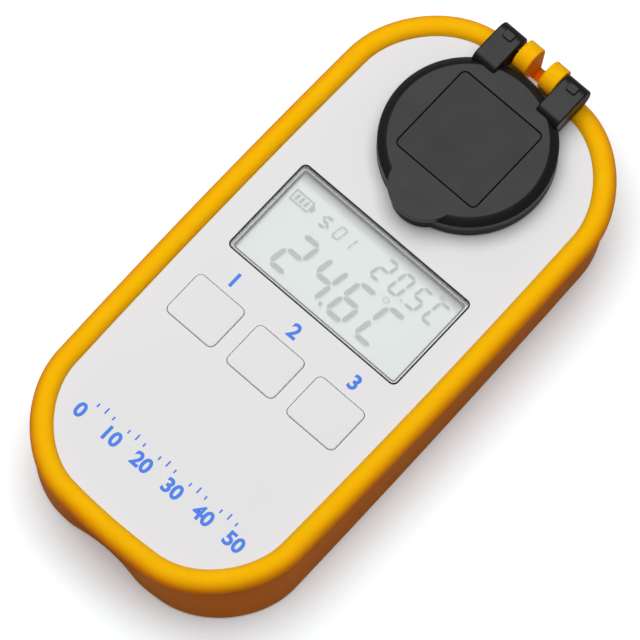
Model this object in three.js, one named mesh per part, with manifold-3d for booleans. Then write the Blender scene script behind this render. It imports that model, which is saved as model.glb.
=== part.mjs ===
// A pocket digital refractometer: a white front panel held in a yellow frame, a yellow rear shell,
// a black lid hinged over the sample well, three keys, a display and one small battery cell.
// Millimetres, +Z up out of the front face, +Y towards the hinge. While it is built, Y counts from
// the middle of the face; the last lines bring the whole to its middle on the surface it lies on.
import * as THREE from "three";
import { mergeVertices } from "three/addons/utils/BufferGeometryUtils.js";
import Module from "manifold-3d";

const wasm = await Module();
wasm.setup();

// Running and seating clearances, and the overrun of every cut
const seatGap = 0.15;
const lipGap = 0.08;
const runningGap = 0.1;
const stackGap = 0.1;
const partingGap = 0.12;
const overrun = 1.5;

// Body outline at the widest line of the roll
const bodyHalfWidth = 29.0;
const bodyHalfLength = 58.7;
const bodyCorner = 18.4;
const sideBow = 0.94;
const endBow = 3.2;

// Roll and skirt of the frame
const rollRadius = 2.3;
const rollDrop = 1.2;
const rollTurnUnder = 55;
const skirtInset = 1.05;
const frameDepth = 4.9;
const skirtThickness = 1.15;
const ledgeWidth = 2.1;
const ledgeThickness = 1.4;

// Front panel
const panelThickness = 2.0;
const panelInset = 3.2;
const panelRibThickness = 1.2;
const panelRibDepth = 2.2;
const panelRibSpace = 0.25;

// Rear shell
const wall = 2.0;
const floor = 2.0;
const sideDraft = 1.2;
const endDraft = 2.0;
const baseCorner = 16.0;
const baseSideBow = 0.57;
const baseEndBow = 3.0;
const baseNarrowing = 0.85;
const baseFillet = 1.1;
const tongueThickness = 1.0;
const tongueHeight = 1.4;
const scallopWidth = 17.0;
const scallopDepth = 1.2;
const scallopShift = -1.2;

// Hinge across the end of the body
const hingeInset = 2.0;
const hingeRise = 4.0;
const knuckleRadius = 2.9;
const knuckleWidth = 3.1;
const knuckleSpace = 2.9;
const knuckleShift = 0.3;
const knuckleDraft = 0.8;
const knuckleFrontDraft = 0.6;
const knuckleDepth = 3.2;
const webDrop = 2.1;
const pinRadius = 0.9;

// Lid, its tab, arms, inlay and seal
const lidReach = 19.1;
const lidShoulderWidth = 1.65;
const lidLift = 0.3;
const lidHeight = 5.1;
const lidShoulder = 1.2;
const lidWall = 1.65;
const lidRoof = 1.6;
const lidLowerEdge = 0.4;
const tabRadius = 6.8;
const tabReach = 11.1;
const tabLip = 1.2;
const tabSetBack = 0.5;
const armInner = 4.9;
const armWidth = 5.1;
const armLength = 7.1;
const armRise = 1.0;
const armRamp = 2.0;
const armRadius = 2.4;
const armEndMargin = 0.8;
const nubWidth = 1.9;
const nubLength = 1.3;
const nubHeight = 0.35;
const inlaySide = 18.7;
const inlayCorner = 1.1;
const inlayThickness = 0.75;
const inlayOffset = 0.2;
const sealInset = 0.7;
const sealThickness = 1.4;

// Sample well, prism and optics
const dishFlangeWidth = 1.4;
const dishFlangeThickness = 0.65;
const dishFlangeSpace = 1.1;
const dishShoulderWidth = 2.0;
const dishMouthRadius = 9.9;
const dishRimRadius = 0.5;
const dishWindowRadius = 5.2;
const dishDepth = 3.8;
const dishThickness = 1.0;
const prismDisc = 1.5;
const prismHalfWidth = 3.6;
const prismHalfTop = 4.4;
const prismHalfBottom = 1.6;
const prismDepth = 5.2;
const ringSection = 0.45;
const blockHalfWidth = 8.6;
const blockHalfLength = 12.4;
const blockHalfBottom = 6.2;
const blockFloorGap = 1.43;
const blockSideDepth = 4.6;
const earMargin = 1.4;
const earThickness = 1.6;
const earHalfLength = 3.2;
const earScrewX = 14.6;
const lampRadius = 1.5;
const lampLength = 4.6;
const lampFlange = 0.5;
const sensorWidth = 10.0;
const sensorBreadth = 3.0;
const sensorThickness = 1.2;
const sensorBoardWidth = 15.0;
const sensorBoardBreadth = 7.6;
const sensorBoardThickness = 1.0;
const probeRadius = 0.9;
const probeLength = 2.0;
const probeX = 7.4;

// Display
const windowSideMargin = 9.3;
const windowLength = 20.7;
const windowCorner = 1.1;
const windowLedge = 0.55;
const windowThickness = 1.15;
const windowBevel = 0.35;
const windowSink = 0.05;
const glassSideMargin = 0.8;
const glassEndMargin = 1.05;
const glassThickness = 1.8;
const holderRim = 1.2;
const holderBossGap = 0.3;
const connectorBreadth = 1.6;
const connectorHeight = 0.8;

// Keys and their switches
const keyLength = 9.5;
const keyCorner = 1.2;
const keySpace = 2.9;
const keysBelowWindow = 21.95;
const keyGap = 0.2;
const keyProud = 0.2;
const keyCrown = 0.3;
const keyFlange = 0.8;
const keyFlangeThickness = 0.8;
const keyTravel = 0.5;
const switchSide = 6.0;
const switchHeight = 1.0;
const plungerRadius = 1.3;

// Main board, its chip and its screws
const boardSideMargin = 7.3;
const boardBlockGap = 1.6;
const boardCellGap = 0.3;
const boardThickness = 1.0;
const boardBossRadius = 1.9;
const boardBossMargin = 2.3;
const boardBossBelowKeys = 10.5;
const boardBossFarMargin = 2.2;
const boardNotchGap = 0.4;
const chipSide = 9.0;
const chipThickness = 1.1;
const chipMargin = 3.0;
const chipBelowEnd = 15.6;
const ribbonWidth = 9.0;
const ribbonThickness = 0.3;

// Case screws and the bosses that they join
const caseBossSideMargin = 9.0;
const caseBossEndMargin = 13.1;
const caseBossRadius = 3.4;
const panelBossRadius = 2.6;
const caseBossHeight = 6.4;
const screwHeadRadius = 2.1;
const screwHeadHeight = 1.5;
const screwHeadSink = 0.6;
const screwRadius = 0.9;
const screwReach = 5.0;
const screwSlack = 0.35;
const smallHeadRadius = 1.5;
const smallHeadHeight = 0.9;
const smallScrewRadius = 0.6;
const smallScrewReach = 2.2;

// Battery, its contacts, its bay and its door
const cellRadius = 5.25;
const cellLength = 44.5;
const cellMargin = 7.8;
const cellNubRadius = 1.9;
const cellNubLength = 0.8;
const cellLift = 0.2;
const bayWall = 1.2;
const bayGap = 0.5;
const bayHeight = 7.0;
const contactThickness = 0.4;
const contactHalfWidth = 3.8;
const contactHeight = 8.0;
const contactSpring = 1.1;
const doorThickness = 1.1;
const doorMargin = 1.5;
const doorCorner = 2.0;
const doorSink = 0.1;
const doorScrewSpace = 7.8;
const doorTongueReach = 1.0;
const doorTongueThickness = 0.5;
const doorTongueHalfWidth = 4.0;
const doorBossRadius = 2.6;
const doorBossHeight = 6.0;

// Numbers of steps round curves
const cornerSteps = 9;
const sideSteps = 6;
const endSteps = 4;
const rollSteps = 8;
const rollUnderSteps = 3;
const ringSteps = 6;
const roundSides = 24;
const lidSides = 48;
const smallSides = 12;

// Heights that follow from the sizes above: the cell, the board and the display under the panel
// set how deep the body is
const doorTop = doorSink + doorThickness;
const cellZ = doorTop + cellLift + cellRadius;
const boardBottom = cellZ + cellRadius + boardCellGap;
const boardTop = boardBottom + boardThickness;
const glassBottom = boardTop + connectorHeight + 2 * stackGap;
const glassTop = glassBottom + glassThickness;
const panelUnderside = glassTop + stackGap;
const faceHeight = panelUnderside + panelThickness;
const partingHeight = faceHeight - frameDepth;
const knuckleFoot = faceHeight - knuckleDepth;
const bossMeetHeight = floor + caseBossHeight;
const hingeZ = faceHeight + hingeRise;
const lidBottom = faceHeight + lidLift;
const lidTop = lidBottom + lidHeight;
const lidCeiling = lidTop - lidRoof;
const dishRim = faceHeight + lipGap + dishFlangeThickness;
const dishBottom = dishRim - dishDepth - dishThickness / 2;
const keyStop = panelUnderside - stackGap;
const keyLow = keyStop - keyFlangeThickness;
const blockTop = dishBottom - 2 * seatGap;
const blockDepth = blockTop - floor - blockFloorGap;

// Places that follow from them, from the hinge end for the lid, well, window, keys and board, and
// from the near end for the cell
const baseHalfWidth = bodyHalfWidth - sideDraft;
const baseHalfLength = bodyHalfLength - endDraft;
const hingeY = bodyHalfLength - hingeInset;
const lidY = hingeY - lidReach;
const armFront = hingeY - armLength;
const windowWidth = 2 * (bodyHalfWidth - windowSideMargin);
const glassWidth = windowWidth + 2 * glassSideMargin;
const glassLength = windowLength + 2 * glassEndMargin;
const boardHalfWidth = bodyHalfWidth - boardSideMargin;
const boardHigh = lidY - blockHalfLength - boardBlockGap;
const boardBossX = boardHalfWidth - boardBossMargin;
const boardBossHigh = boardHigh - boardBossFarMargin;
const windowY = boardBossHigh - boardBossRadius - holderBossGap - holderRim - seatGap - glassLength / 2;
const keyY = windowY - keysBelowWindow;
const keyWidth = (windowWidth - 2 * keySpace) / 3;
const keyPitch = keyWidth + keySpace;
const boardBossLow = keyY - boardBossBelowKeys;
const chipX = boardHalfWidth - chipMargin - chipSide / 2;
const chipY = boardHigh - chipBelowEnd;
const caseBossX = baseHalfWidth - caseBossSideMargin;
const caseBossY = baseHalfLength - caseBossEndMargin;
const boardLow = -caseBossY;
const cellStart = cellMargin - baseHalfLength;
const cellEnd = cellStart + cellLength;
const dishBodyRadius = dishMouthRadius + dishShoulderWidth;
const dishFlangeRadius = dishBodyRadius + dishFlangeWidth;
const lidRadius = dishFlangeRadius + dishFlangeSpace + lidWall;
const lidTopRadius = lidRadius - lidShoulderWidth;
const sealRadius = dishFlangeRadius - sealInset;
const earReach = earScrewX + earMargin;

const plastic = (colour, roughness) => new THREE.MeshStandardMaterial({ color: colour, roughness, metalness: 0 });
const metal = (colour, roughness) => new THREE.MeshStandardMaterial({ color: colour, roughness, metalness: 1 });
const yellowPlastic = () => plastic("#f0af0f", 0.42);
const whitePlastic = () => plastic("#e4e2e4", 0.45);
const blackPlastic = () => plastic("#2e2f30", 0.4);

// Gives a closed geometry's shared vertices one number each and turns its faces outwards.
function solidOf(geometry) {
  geometry.deleteAttribute("normal");
  geometry.deleteAttribute("uv");
  const merged = mergeVertices(geometry);
  const places = merged.attributes.position;
  const index = merged.index.array;
  const corners = [];
  let volume = 0;
  const [a, b, c] = [new THREE.Vector3(), new THREE.Vector3(), new THREE.Vector3()];
  for (let i = 0; i < index.length; i += 3) {
    const [p, q, r] = index.slice(i, i + 3);
    if (p === q || q === r || r === p) continue;
    a.fromBufferAttribute(places, p);
    b.fromBufferAttribute(places, q);
    c.fromBufferAttribute(places, r);
    volume += a.dot(b.cross(c));
    corners.push(p, q, r);
  }
  if (volume < 0) corners.reverse();
  const mesh = new wasm.Mesh({
    numProp: 3,
    vertProperties: Float32Array.from(places.array),
    triVerts: Uint32Array.from(corners),
  });
  return new wasm.Manifold(mesh);
}

function geometryOf(solid) {
  const mesh = solid.getMesh();
  const geometry = new THREE.BufferGeometry();
  geometry.setAttribute("position", new THREE.BufferAttribute(mesh.vertProperties, 3));
  geometry.setIndex(new THREE.BufferAttribute(mesh.triVerts, 1));
  geometry.computeVertexNormals();
  return geometry;
}

function join(solids) {
  return solids.reduce((whole, next) => whole.add(next));
}

function cut(solid, tools) {
  return tools.reduce((left, tool) => left.subtract(tool), solid);
}

// A flat outline raised between two heights.
function slab(shape, low, high) {
  const geometry = new THREE.ExtrudeGeometry(shape, { depth: high - low, bevelEnabled: false, curveSegments: 6 });
  geometry.translate(0, 0, low);
  return solidOf(geometry);
}

// A side profile, drawn in y and z, carried across the body from one x to another.
function bar(shape, left, right, steps = 12) {
  const geometry = new THREE.ExtrudeGeometry(shape, {
    depth: right - left,
    bevelEnabled: false,
    curveSegments: steps,
  });
  const across = new THREE.Matrix4().makeBasis(
    new THREE.Vector3(0, 1, 0),
    new THREE.Vector3(0, 0, 1),
    new THREE.Vector3(1, 0, 0),
  );
  geometry.applyMatrix4(across.setPosition(left, 0, 0));
  return solidOf(geometry);
}

function polygon(points) {
  return new THREE.Shape(points.map(([x, y]) => new THREE.Vector2(x, y)));
}

// A profile of radius and height turned about a vertical axis at (x, y).
function turned(profile, x, y, sides = roundSides) {
  const points = [...profile, profile[0]].map(([radius, height]) => new THREE.Vector2(radius, height));
  const geometry = new THREE.LatheGeometry(points, sides);
  geometry.rotateX(Math.PI / 2);
  geometry.translate(x, y, 0);
  return solidOf(geometry);
}

function post(x, y, radius, low, high, sides = smallSides) {
  return turned([[0, low], [radius, low], [radius, high], [0, high]], x, y, sides);
}

// A round rod along x, about the line at (y, z).
function rod(y, z, radius, left, right, sides = smallSides) {
  const geometry = new THREE.CylinderGeometry(radius, radius, right - left, sides);
  geometry.rotateZ(Math.PI / 2);
  geometry.translate((left + right) / 2, y, z);
  return solidOf(geometry);
}

function block(x, y, z) {
  const geometry = new THREE.BoxGeometry(x[1] - x[0], y[1] - y[0], z[1] - z[0]);
  geometry.translate((x[0] + x[1]) / 2, (y[0] + y[1]) / 2, (z[0] + z[1]) / 2);
  return solidOf(geometry);
}

// Points round a rectangle with round corners about (x, y), counterclockwise.
function roundedPoints(halfWidth, halfLength, corner, x = 0, y = 0, steps = cornerSteps, sides = 1, ends = 1) {
  const quarters = [[1, 1], [-1, 1], [-1, -1], [1, -1]];
  const arcs = quarters.map(([sx, sy], turn) => {
    const centre = new THREE.Vector2(x + sx * (halfWidth - corner), y + sy * (halfLength - corner));
    return Array.from({ length: steps + 1 }, (_, i) => {
      const angle = (turn + i / steps) * Math.PI / 2;
      return new THREE.Vector2(Math.cos(angle), Math.sin(angle)).multiplyScalar(corner).add(centre);
    });
  });
  return arcs.flatMap((arc, turn) => {
    const last = arc[steps];
    const next = arcs[(turn + 1) % arcs.length][0];
    const parts = turn % 2 === 0 ? ends : sides;
    const between = Array.from({ length: parts - 1 }, (_, i) => last.clone().lerp(next, (i + 1) / parts));
    return [...arc, ...between];
  });
}

function roundedRectangle(width, length, corner, x = 0, y = 0) {
  return new THREE.Shape(roundedPoints(width / 2, length / 2, corner, x, y, 6));
}

// A rounded rectangle whose sides and ends bow outwards, narrowed evenly towards the hinge end.
function bowedOutline(halfWidth, halfLength, corner, sidesIn, endsIn, narrowing) {
  const square = roundedPoints(halfWidth, halfLength, corner, 0, 0, cornerSteps, sideSteps, endSteps);
  return square.map(({ x, y }) => {
    const across = x / halfWidth;
    const along = y / halfLength;
    const slimmer = halfWidth - sidesIn * along * along - narrowing * along;
    const shorter = halfLength - endsIn * across * across;
    return new THREE.Vector2(across * slimmer, along * shorter);
  });
}

// Moves every point of an outline inwards, square to the line through its neighbours.
function insetOutline(points, inset) {
  return points.map((point, i) => {
    const before = points.at(i - 1);
    const after = points[(i + 1) % points.length];
    const outward = new THREE.Vector2(after.y - before.y, before.x - after.x).normalize();
    return point.clone().addScaledVector(outward, -inset);
  });
}

const widestLine = bowedOutline(bodyHalfWidth, bodyHalfLength, bodyCorner, sideBow, endBow, 0);
const baseLine = bowedOutline(baseHalfWidth, baseHalfLength, baseCorner, baseSideBow, baseEndBow, baseNarrowing);

// A closed body through level rings of equal numbers of points. Its ends are flat, or the last ring
// joins the first when the rings go round a section.
function loft(rings, roundSection = false) {
  const count = rings[0].points.length;
  const places = rings.flatMap(({ points, height }) => points.flatMap(({ x, y }) => [x, y, height]));
  const faces = [];
  const bands = roundSection ? rings.length : rings.length - 1;
  for (let level = 0; level < bands; level += 1) {
    for (let i = 0; i < count; i += 1) {
      const next = (i + 1) % count;
      const low = level * count;
      const high = ((level + 1) % rings.length) * count;
      faces.push(low + i, low + next, high + next, low + i, high + next, high + i);
    }
  }
  if (!roundSection) {
    const middle = places.length / 3;
    places.push(0, 0, rings[0].height, 0, 0, rings.at(-1).height);
    const top = (rings.length - 1) * count;
    for (let i = 0; i < count; i += 1) {
      const next = (i + 1) % count;
      faces.push(middle, next, i, middle + 1, top + i, top + next);
    }
  }
  const geometry = new THREE.BufferGeometry();
  geometry.setAttribute("position", new THREE.Float32BufferAttribute(places, 3));
  geometry.setIndex(faces);
  return solidOf(geometry);
}

const widestRing = (inset, height) => ({ points: insetOutline(widestLine, inset), height });
const baseRing = (inset, height) => ({ points: insetOutline(baseLine, inset), height });

// The wall of the rear shell runs straight from the base line to the parting line, then upright.
const wallShare = (height) => Math.min(height / partingHeight, 1);
function wallRing(inset, height) {
  const low = baseRing(inset, height).points;
  const high = widestRing(inset + skirtInset, height).points;
  return { points: low.map((point, i) => point.clone().lerp(high[i], wallShare(height))), height };
}

const parts = new THREE.Group();
function piece(name, solid, material) {
  const mesh = new THREE.Mesh(geometryOf(solid), material);
  mesh.name = name;
  parts.add(mesh);
  return mesh;
}

// A screw seen from below: a low head with a shank that rises from it.
function screw(x, y, low, headRadius, headHeight, radius, reach) {
  const neck = low + headHeight;
  const tip = neck + reach;
  const profile = [[0, low], [headRadius, low], [headRadius, neck], [radius, neck], [radius, tip - radius]];
  return turned([...profile, [radius / 2, tip], [0, tip]], x, y, smallSides);
}

const mirrored = (x) => [-x, x];
const caseBossPlaces = mirrored(caseBossX).flatMap((x) => mirrored(caseBossY).map((y) => [x, y]));
const boardBossPlaces = [
  ...mirrored(keyPitch / 2).map((x) => [x, boardBossLow]),
  ...mirrored(boardBossX).map((x) => [x, boardBossHigh]),
];
const earScrewPlaces = mirrored(earScrewX).map((x) => [x, lidY]);
const keyPlaces = [-keyPitch, 0, keyPitch];

// Front panel: a white plate with the display opening, three key openings and the well, a rib round
// its underside, and the bosses that take every screw inside the body.
function frontPanel() {
  const plate = loft([widestRing(panelInset, panelUnderside), widestRing(panelInset, faceHeight)]);
  const ledgeInset = panelInset - seatGap + ledgeWidth;
  const ribOuter = ledgeInset + panelRibSpace;
  const ribLow = panelUnderside - panelRibDepth;
  const rib = loft([widestRing(ribOuter, ribLow), widestRing(ribOuter, panelUnderside + lipGap)]);
  const ribInner = ribOuter + panelRibThickness;
  const ribHollow = loft([widestRing(ribInner, ribLow - overrun), widestRing(ribInner, panelUnderside)]);
  const scallopRoom = scallopCutter(wall + seatGap, 0, panelUnderside);
  const bossTop = panelUnderside + lipGap;
  const caseBosses = caseBossPlaces.map(([x, y]) => post(x, y, panelBossRadius, bossMeetHeight, bossTop));
  const boardBosses = boardBossPlaces.map(([x, y]) => post(x, y, boardBossRadius, boardTop + stackGap, bossTop));
  const earBosses = earScrewPlaces.map(([x, y]) => post(x, y, boardBossRadius, blockTop + stackGap, bossTop));
  const solid = join([plate, cut(rib, [ribHollow, scallopRoom]), ...caseBosses, ...boardBosses, ...earBosses]);
  const recessLow = faceHeight - windowThickness - windowSink - seatGap;
  const recess = slab(
    roundedRectangle(windowWidth, windowLength, windowCorner, 0, windowY), recessLow, faceHeight + overrun,
  );
  const sight = slab(
    roundedRectangle(windowWidth - 2 * windowLedge, windowLength - 2 * windowLedge, windowCorner / 2, 0, windowY),
    panelUnderside - overrun, faceHeight,
  );
  const keyHoles = keyPlaces.map((x) => slab(
    roundedRectangle(keyWidth, keyLength, keyCorner, x, keyY), panelUnderside - overrun, faceHeight + overrun,
  ));
  const well = post(
    0, lidY, dishBodyRadius + seatGap, panelUnderside - overrun, faceHeight + overrun, roundSides,
  );
  const caseHoles = caseBossPlaces.map(([x, y]) => post(
    x, y, screwRadius + runningGap, bossMeetHeight - overrun, bossMeetHeight + screwReach + screwSlack,
  ));
  const shortHole = smallScrewReach - boardThickness + screwSlack;
  const boardHoles = boardBossPlaces.map(([x, y]) => post(
    x, y, smallScrewRadius + runningGap, boardTop - overrun, boardTop + shortHole,
  ));
  const earHole = smallScrewReach - earThickness + screwSlack;
  const earHoles = earScrewPlaces.map(([x, y]) => post(
    x, y, smallScrewRadius + runningGap, blockTop - overrun, blockTop + earHole,
  ));
  return cut(solid, [recess, sight, ...keyHoles, well, ...caseHoles, ...boardHoles, ...earHoles]);
}

// Frame: one section carried round the body. Its roll laps over the panel's edge, its ledge carries
// the panel, and its skirt meets the rear shell. The hinge knuckles stand on its far end.
function frameSection() {
  const centre = faceHeight - rollDrop;
  const lip = faceHeight + lipGap;
  const start = Math.asin((lip - centre) / rollRadius);
  const over = (share) => start + (Math.PI - start) * share;
  const under = (share) => Math.PI + THREE.MathUtils.degToRad(rollTurnUnder) * share;
  const angles = [
    ...Array.from({ length: rollSteps }, (_, i) => over(i / rollSteps)),
    ...Array.from({ length: rollUnderSteps + 1 }, (_, i) => under(i / rollUnderSteps)),
  ];
  const roll = angles.map((angle) => [rollRadius * (1 + Math.cos(angle)), centre + rollRadius * Math.sin(angle)]);
  const seatInset = panelInset - seatGap;
  const ledgeTop = panelUnderside - stackGap;
  const ledgeLow = ledgeTop - ledgeThickness;
  const skirtInner = skirtInset + skirtThickness;
  return [
    ...roll,
    [skirtInset, partingHeight],
    [skirtInner, partingHeight],
    [skirtInner, ledgeLow],
    [seatInset + ledgeWidth, ledgeLow],
    [seatInset + ledgeWidth, ledgeTop],
    [seatInset, ledgeTop],
    [seatInset, lip],
  ];
}

// Side view of a knuckle: round about the pin, drafted down both faces into the frame.
function knuckleShape() {
  const shape = new THREE.Shape();
  const front = hingeY - knuckleRadius;
  const back = hingeY + knuckleRadius;
  shape.moveTo(back - knuckleDraft, knuckleFoot);
  shape.lineTo(back, hingeZ);
  shape.absarc(hingeY, hingeZ, knuckleRadius, 0, Math.PI);
  shape.lineTo(front + knuckleFrontDraft, faceHeight + lipGap);
  shape.lineTo(hingeY, knuckleFoot);
  shape.closePath();
  return shape;
}

const knuckleInner = knuckleSpace / 2;
const knuckleOuter = knuckleInner + knuckleWidth;
function bumperFrame() {
  const ring = loft(frameSection().map(([inset, height]) => widestRing(inset, height)), true);
  const seatInset = panelInset - seatGap;
  const panelRoom = loft([
    widestRing(seatInset, knuckleFoot - overrun), widestRing(seatInset, faceHeight + lipGap),
  ]);
  const knuckles = [-knuckleOuter, knuckleInner].map((side) => {
    const left = knuckleShift + side;
    return cut(bar(knuckleShape(), left, left + knuckleWidth, roundSides), [panelRoom]);
  });
  const gap = block(
    [knuckleShift - knuckleInner, knuckleShift + knuckleInner],
    [bodyHalfLength - panelInset - ledgeWidth - overrun, bodyHalfLength + overrun],
    [faceHeight - webDrop, hingeZ + overrun],
  );
  const bore = rod(hingeY, hingeZ, pinRadius + runningGap, -knuckleOuter - overrun, knuckleOuter + overrun);
  return cut(join([cut(ring, [gap]), ...knuckles]), [bore]);
}

// Rear shell: a tub with drafted walls, a round lower edge, a scallop in its near end, screw
// bosses, and a bay for one cell that a flush door closes from below.
const doorLow = cellStart - contactSpring - contactThickness - doorMargin;
const doorHigh = cellEnd + cellNubLength + doorScrewSpace;
const doorHalfWidth = cellRadius + doorMargin;
const doorScrewY = doorHigh - doorScrewSpace / 2;
const doorOutline = (gap) => roundedRectangle(
  2 * (doorHalfWidth + gap), doorHigh - doorLow + 2 * gap, doorCorner, 0, (doorLow + doorHigh) / 2,
);

function scallopCutter(grow, low, high) {
  const half = scallopWidth / 2;
  const radius = (half * half + scallopDepth * scallopDepth) / (2 * scallopDepth);
  return post(scallopShift, scallopDepth - baseHalfLength - radius, radius + grow, low, high, lidSides);
}

function rearShell() {
  const top = partingHeight - partingGap;
  const filletSteps = [0, 1, 2, 3].map((i) => i * Math.PI / 6);
  const lower = filletSteps.map((angle) => wallRing(
    baseFillet * (1 - Math.sin(angle)), baseFillet * (1 - Math.cos(angle)),
  ));
  const outer = loft([...lower, wallRing(0, top)]);
  const tongueInset = skirtThickness + seatGap;
  const tongue = loft([wallRing(tongueInset, floor), wallRing(tongueInset, top + tongueHeight)]);
  const inner = tongueInset + tongueThickness;
  const hollow = loft([wallRing(wall, floor), wallRing(inner, top), wallRing(inner, top + tongueHeight + overrun)]);
  const cavity = cut(hollow, [scallopCutter(wall, 0, partingHeight + tongueHeight + overrun)]);
  const body = cut(
    join([outer, tongue]), [scallopCutter(0, -overrun, partingHeight + tongueHeight + overrun), cavity],
  );
  const under = floor - lipGap;
  const bosses = caseBossPlaces.map(([x, y]) => post(x, y, caseBossRadius, under, bossMeetHeight - stackGap));
  const bayInner = cellRadius + bayGap;
  const bayLow = cellStart - contactSpring - contactThickness - bayGap;
  const bayHigh = cellEnd + cellNubLength + contactThickness + bayGap;
  const bayTop = floor + bayHeight;
  const bay = cut(
    block([-bayInner - bayWall, bayInner + bayWall], [bayLow - bayWall, bayHigh + bayWall], [under, bayTop]),
    [block([-bayInner, bayInner], [bayLow, bayHigh], [0, bayTop + overrun])],
  );
  const doorBoss = post(0, doorScrewY, doorBossRadius, under, floor + doorBossHeight);
  const doorSeat = slab(doorOutline(seatGap), -overrun, doorTop + stackGap);
  const mouth = block([-bayInner, bayInner], [bayLow, bayHigh], [0, floor + lipGap]);
  const tongueSlot = block(
    [-doorTongueHalfWidth - seatGap, doorTongueHalfWidth + seatGap],
    [doorLow - doorTongueReach - 2 * seatGap, doorLow],
    [doorTop - doorTongueThickness - stackGap, doorTop + stackGap],
  );
  const headWells = caseBossPlaces.map(([x, y]) => post(
    x, y, screwHeadRadius + 2 * seatGap, -overrun, screwHeadSink + screwHeadHeight + stackGap,
  ));
  const clearHoles = caseBossPlaces.map(([x, y]) => post(
    x, y, screwRadius + screwSlack, 0, bossMeetHeight + overrun,
  ));
  const doorHole = post(0, doorScrewY, screwRadius + runningGap, 0, doorTop + screwReach + screwSlack);
  return cut(
    join([body, ...bosses, bay, doorBoss]),
    [doorSeat, mouth, tongueSlot, ...headWells, ...clearHoles, doorHole],
  );
}

function batteryDoor() {
  const plate = slab(doorOutline(0), doorSink, doorTop);
  const tongue = block(
    [-doorTongueHalfWidth, doorTongueHalfWidth],
    [doorLow - doorTongueReach, doorLow + doorMargin],
    [doorTop - doorTongueThickness, doorTop],
  );
  const hole = post(0, doorScrewY, screwRadius + screwSlack, -overrun, floor);
  const headSeat = turned([
    [0, -overrun], [smallHeadRadius + seatGap, -overrun],
    [smallHeadRadius + seatGap, doorSink + smallHeadHeight], [0, doorSink + smallHeadHeight],
  ], 0, doorScrewY, smallSides);
  return cut(join([plate, tongue]), [hole, headSeat]);
}

// Lid: a shallow black cap with a rounded shoulder, a round finger tab in front, and two arms that
// reach over the frame's end to the pins.
function armShape() {
  const top = lidTop + armRise;
  const shape = new THREE.Shape();
  shape.moveTo(armFront, lidBottom + hingeRise - armRadius);
  shape.lineTo(hingeY, hingeZ - armRadius);
  shape.absarc(hingeY, hingeZ, armRadius, -Math.PI / 2, Math.PI / 2);
  shape.lineTo(armFront + armRamp, top);
  shape.quadraticCurveTo(armFront + armRamp / 4, top, armFront, lidTop - lidRoof / 4);
  shape.closePath();
  return shape;
}

function lidSolid() {
  const shoulder = [0, 1, 2, 3, 4].map((i) => i * Math.PI / 8).map((angle) => [
    lidTopRadius + (lidRadius - lidTopRadius) * Math.cos(angle), lidTop - lidShoulder * (1 - Math.sin(angle)),
  ]);
  const cap = turned([
    [0, lidBottom],
    [lidRadius - lidLowerEdge, lidBottom],
    [lidRadius, lidBottom + lidLowerEdge],
    ...shoulder,
    [0, lidTop],
  ], 0, lidY, lidSides);
  const tabY = lidY - tabReach;
  const tab = join([
    post(0, tabY, tabRadius - tabSetBack, lidBottom, lidTop - tabLip / 2, roundSides),
    post(0, tabY, tabRadius, lidTop - tabLip, lidTop, roundSides),
  ]);
  const arms = [-armInner - armWidth, armInner].map((left) => bar(armShape(), left, left + armWidth));
  const nubs = mirrored(armInner + armWidth / 2).map((x) => slab(
    roundedRectangle(nubWidth, nubLength, nubLength / 4, x, hingeY),
    hingeZ + armRadius - nubHeight, hingeZ + armRadius + nubHeight,
  ));
  const hollow = post(0, lidY, lidRadius - lidWall, lidBottom - overrun, lidCeiling, lidSides);
  const inlaySeat = slab(
    roundedRectangle(inlaySide, inlaySide, inlayCorner, 0, lidY + inlayOffset),
    lidTop - inlayThickness - stackGap, lidTop + overrun,
  );
  const reach = armInner + armWidth + overrun;
  const bore = rod(hingeY, hingeZ, pinRadius + runningGap / 2, -reach, reach);
  return cut(join([cap, tab, ...arms, ...nubs]), [hollow, inlaySeat, bore]);
}

function inlaySolid() {
  const side = inlaySide - 2 * seatGap;
  const shape = roundedRectangle(side, side, inlayCorner - seatGap, 0, lidY + inlayOffset);
  return slab(shape, lidTop - inlayThickness, lidTop);
}

function sealSolid() {
  const inner = sealRadius - sealThickness;
  const low = dishRim + lipGap;
  const high = lidCeiling - lipGap;
  const edge = sealThickness / 4;
  return turned([
    [inner + edge, low], [sealRadius - edge, low], [sealRadius, low + edge], [sealRadius, high],
    [inner, high], [inner, low + edge],
  ], 0, lidY, lidSides);
}

function hingePin(side) {
  const outer = armInner + armWidth - armEndMargin;
  const inner = knuckleInner + armEndMargin;
  const shifted = knuckleShift + side * inner;
  return rod(hingeY, hingeZ, pinRadius, Math.min(shifted, side * outer), Math.max(shifted, side * outer));
}

// Sample well: a turned steel dish whose cone leads down to the prism's round window.
function dishSolid() {
  const lip = faceHeight + lipGap;
  const mouth = dishRim - dishRimRadius / 2;
  const slopeFoot = dishRim - dishDepth;
  return turned([
    [dishWindowRadius, dishBottom],
    [dishWindowRadius, slopeFoot],
    [dishMouthRadius, mouth],
    [dishMouthRadius + dishRimRadius, dishRim],
    [dishFlangeRadius - dishRimRadius / 2, dishRim],
    [dishFlangeRadius, dishRim - dishRimRadius / 2],
    [dishFlangeRadius, lip],
    [dishBodyRadius, lip],
    [dishBodyRadius, mouth - dishThickness],
    [dishWindowRadius + dishThickness, dishBottom],
  ], 0, lidY, lidSides);
}

const prismTop = dishRim - dishDepth - lipGap;
function prismShape(gap) {
  const top = prismTop - prismDisc + lipGap;
  const low = top - prismDepth - gap;
  return polygon([
    [lidY - prismHalfBottom - gap, low],
    [lidY + prismHalfBottom + gap, low],
    [lidY + prismHalfTop + gap, top],
    [lidY - prismHalfTop - gap, top],
  ]);
}

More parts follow.
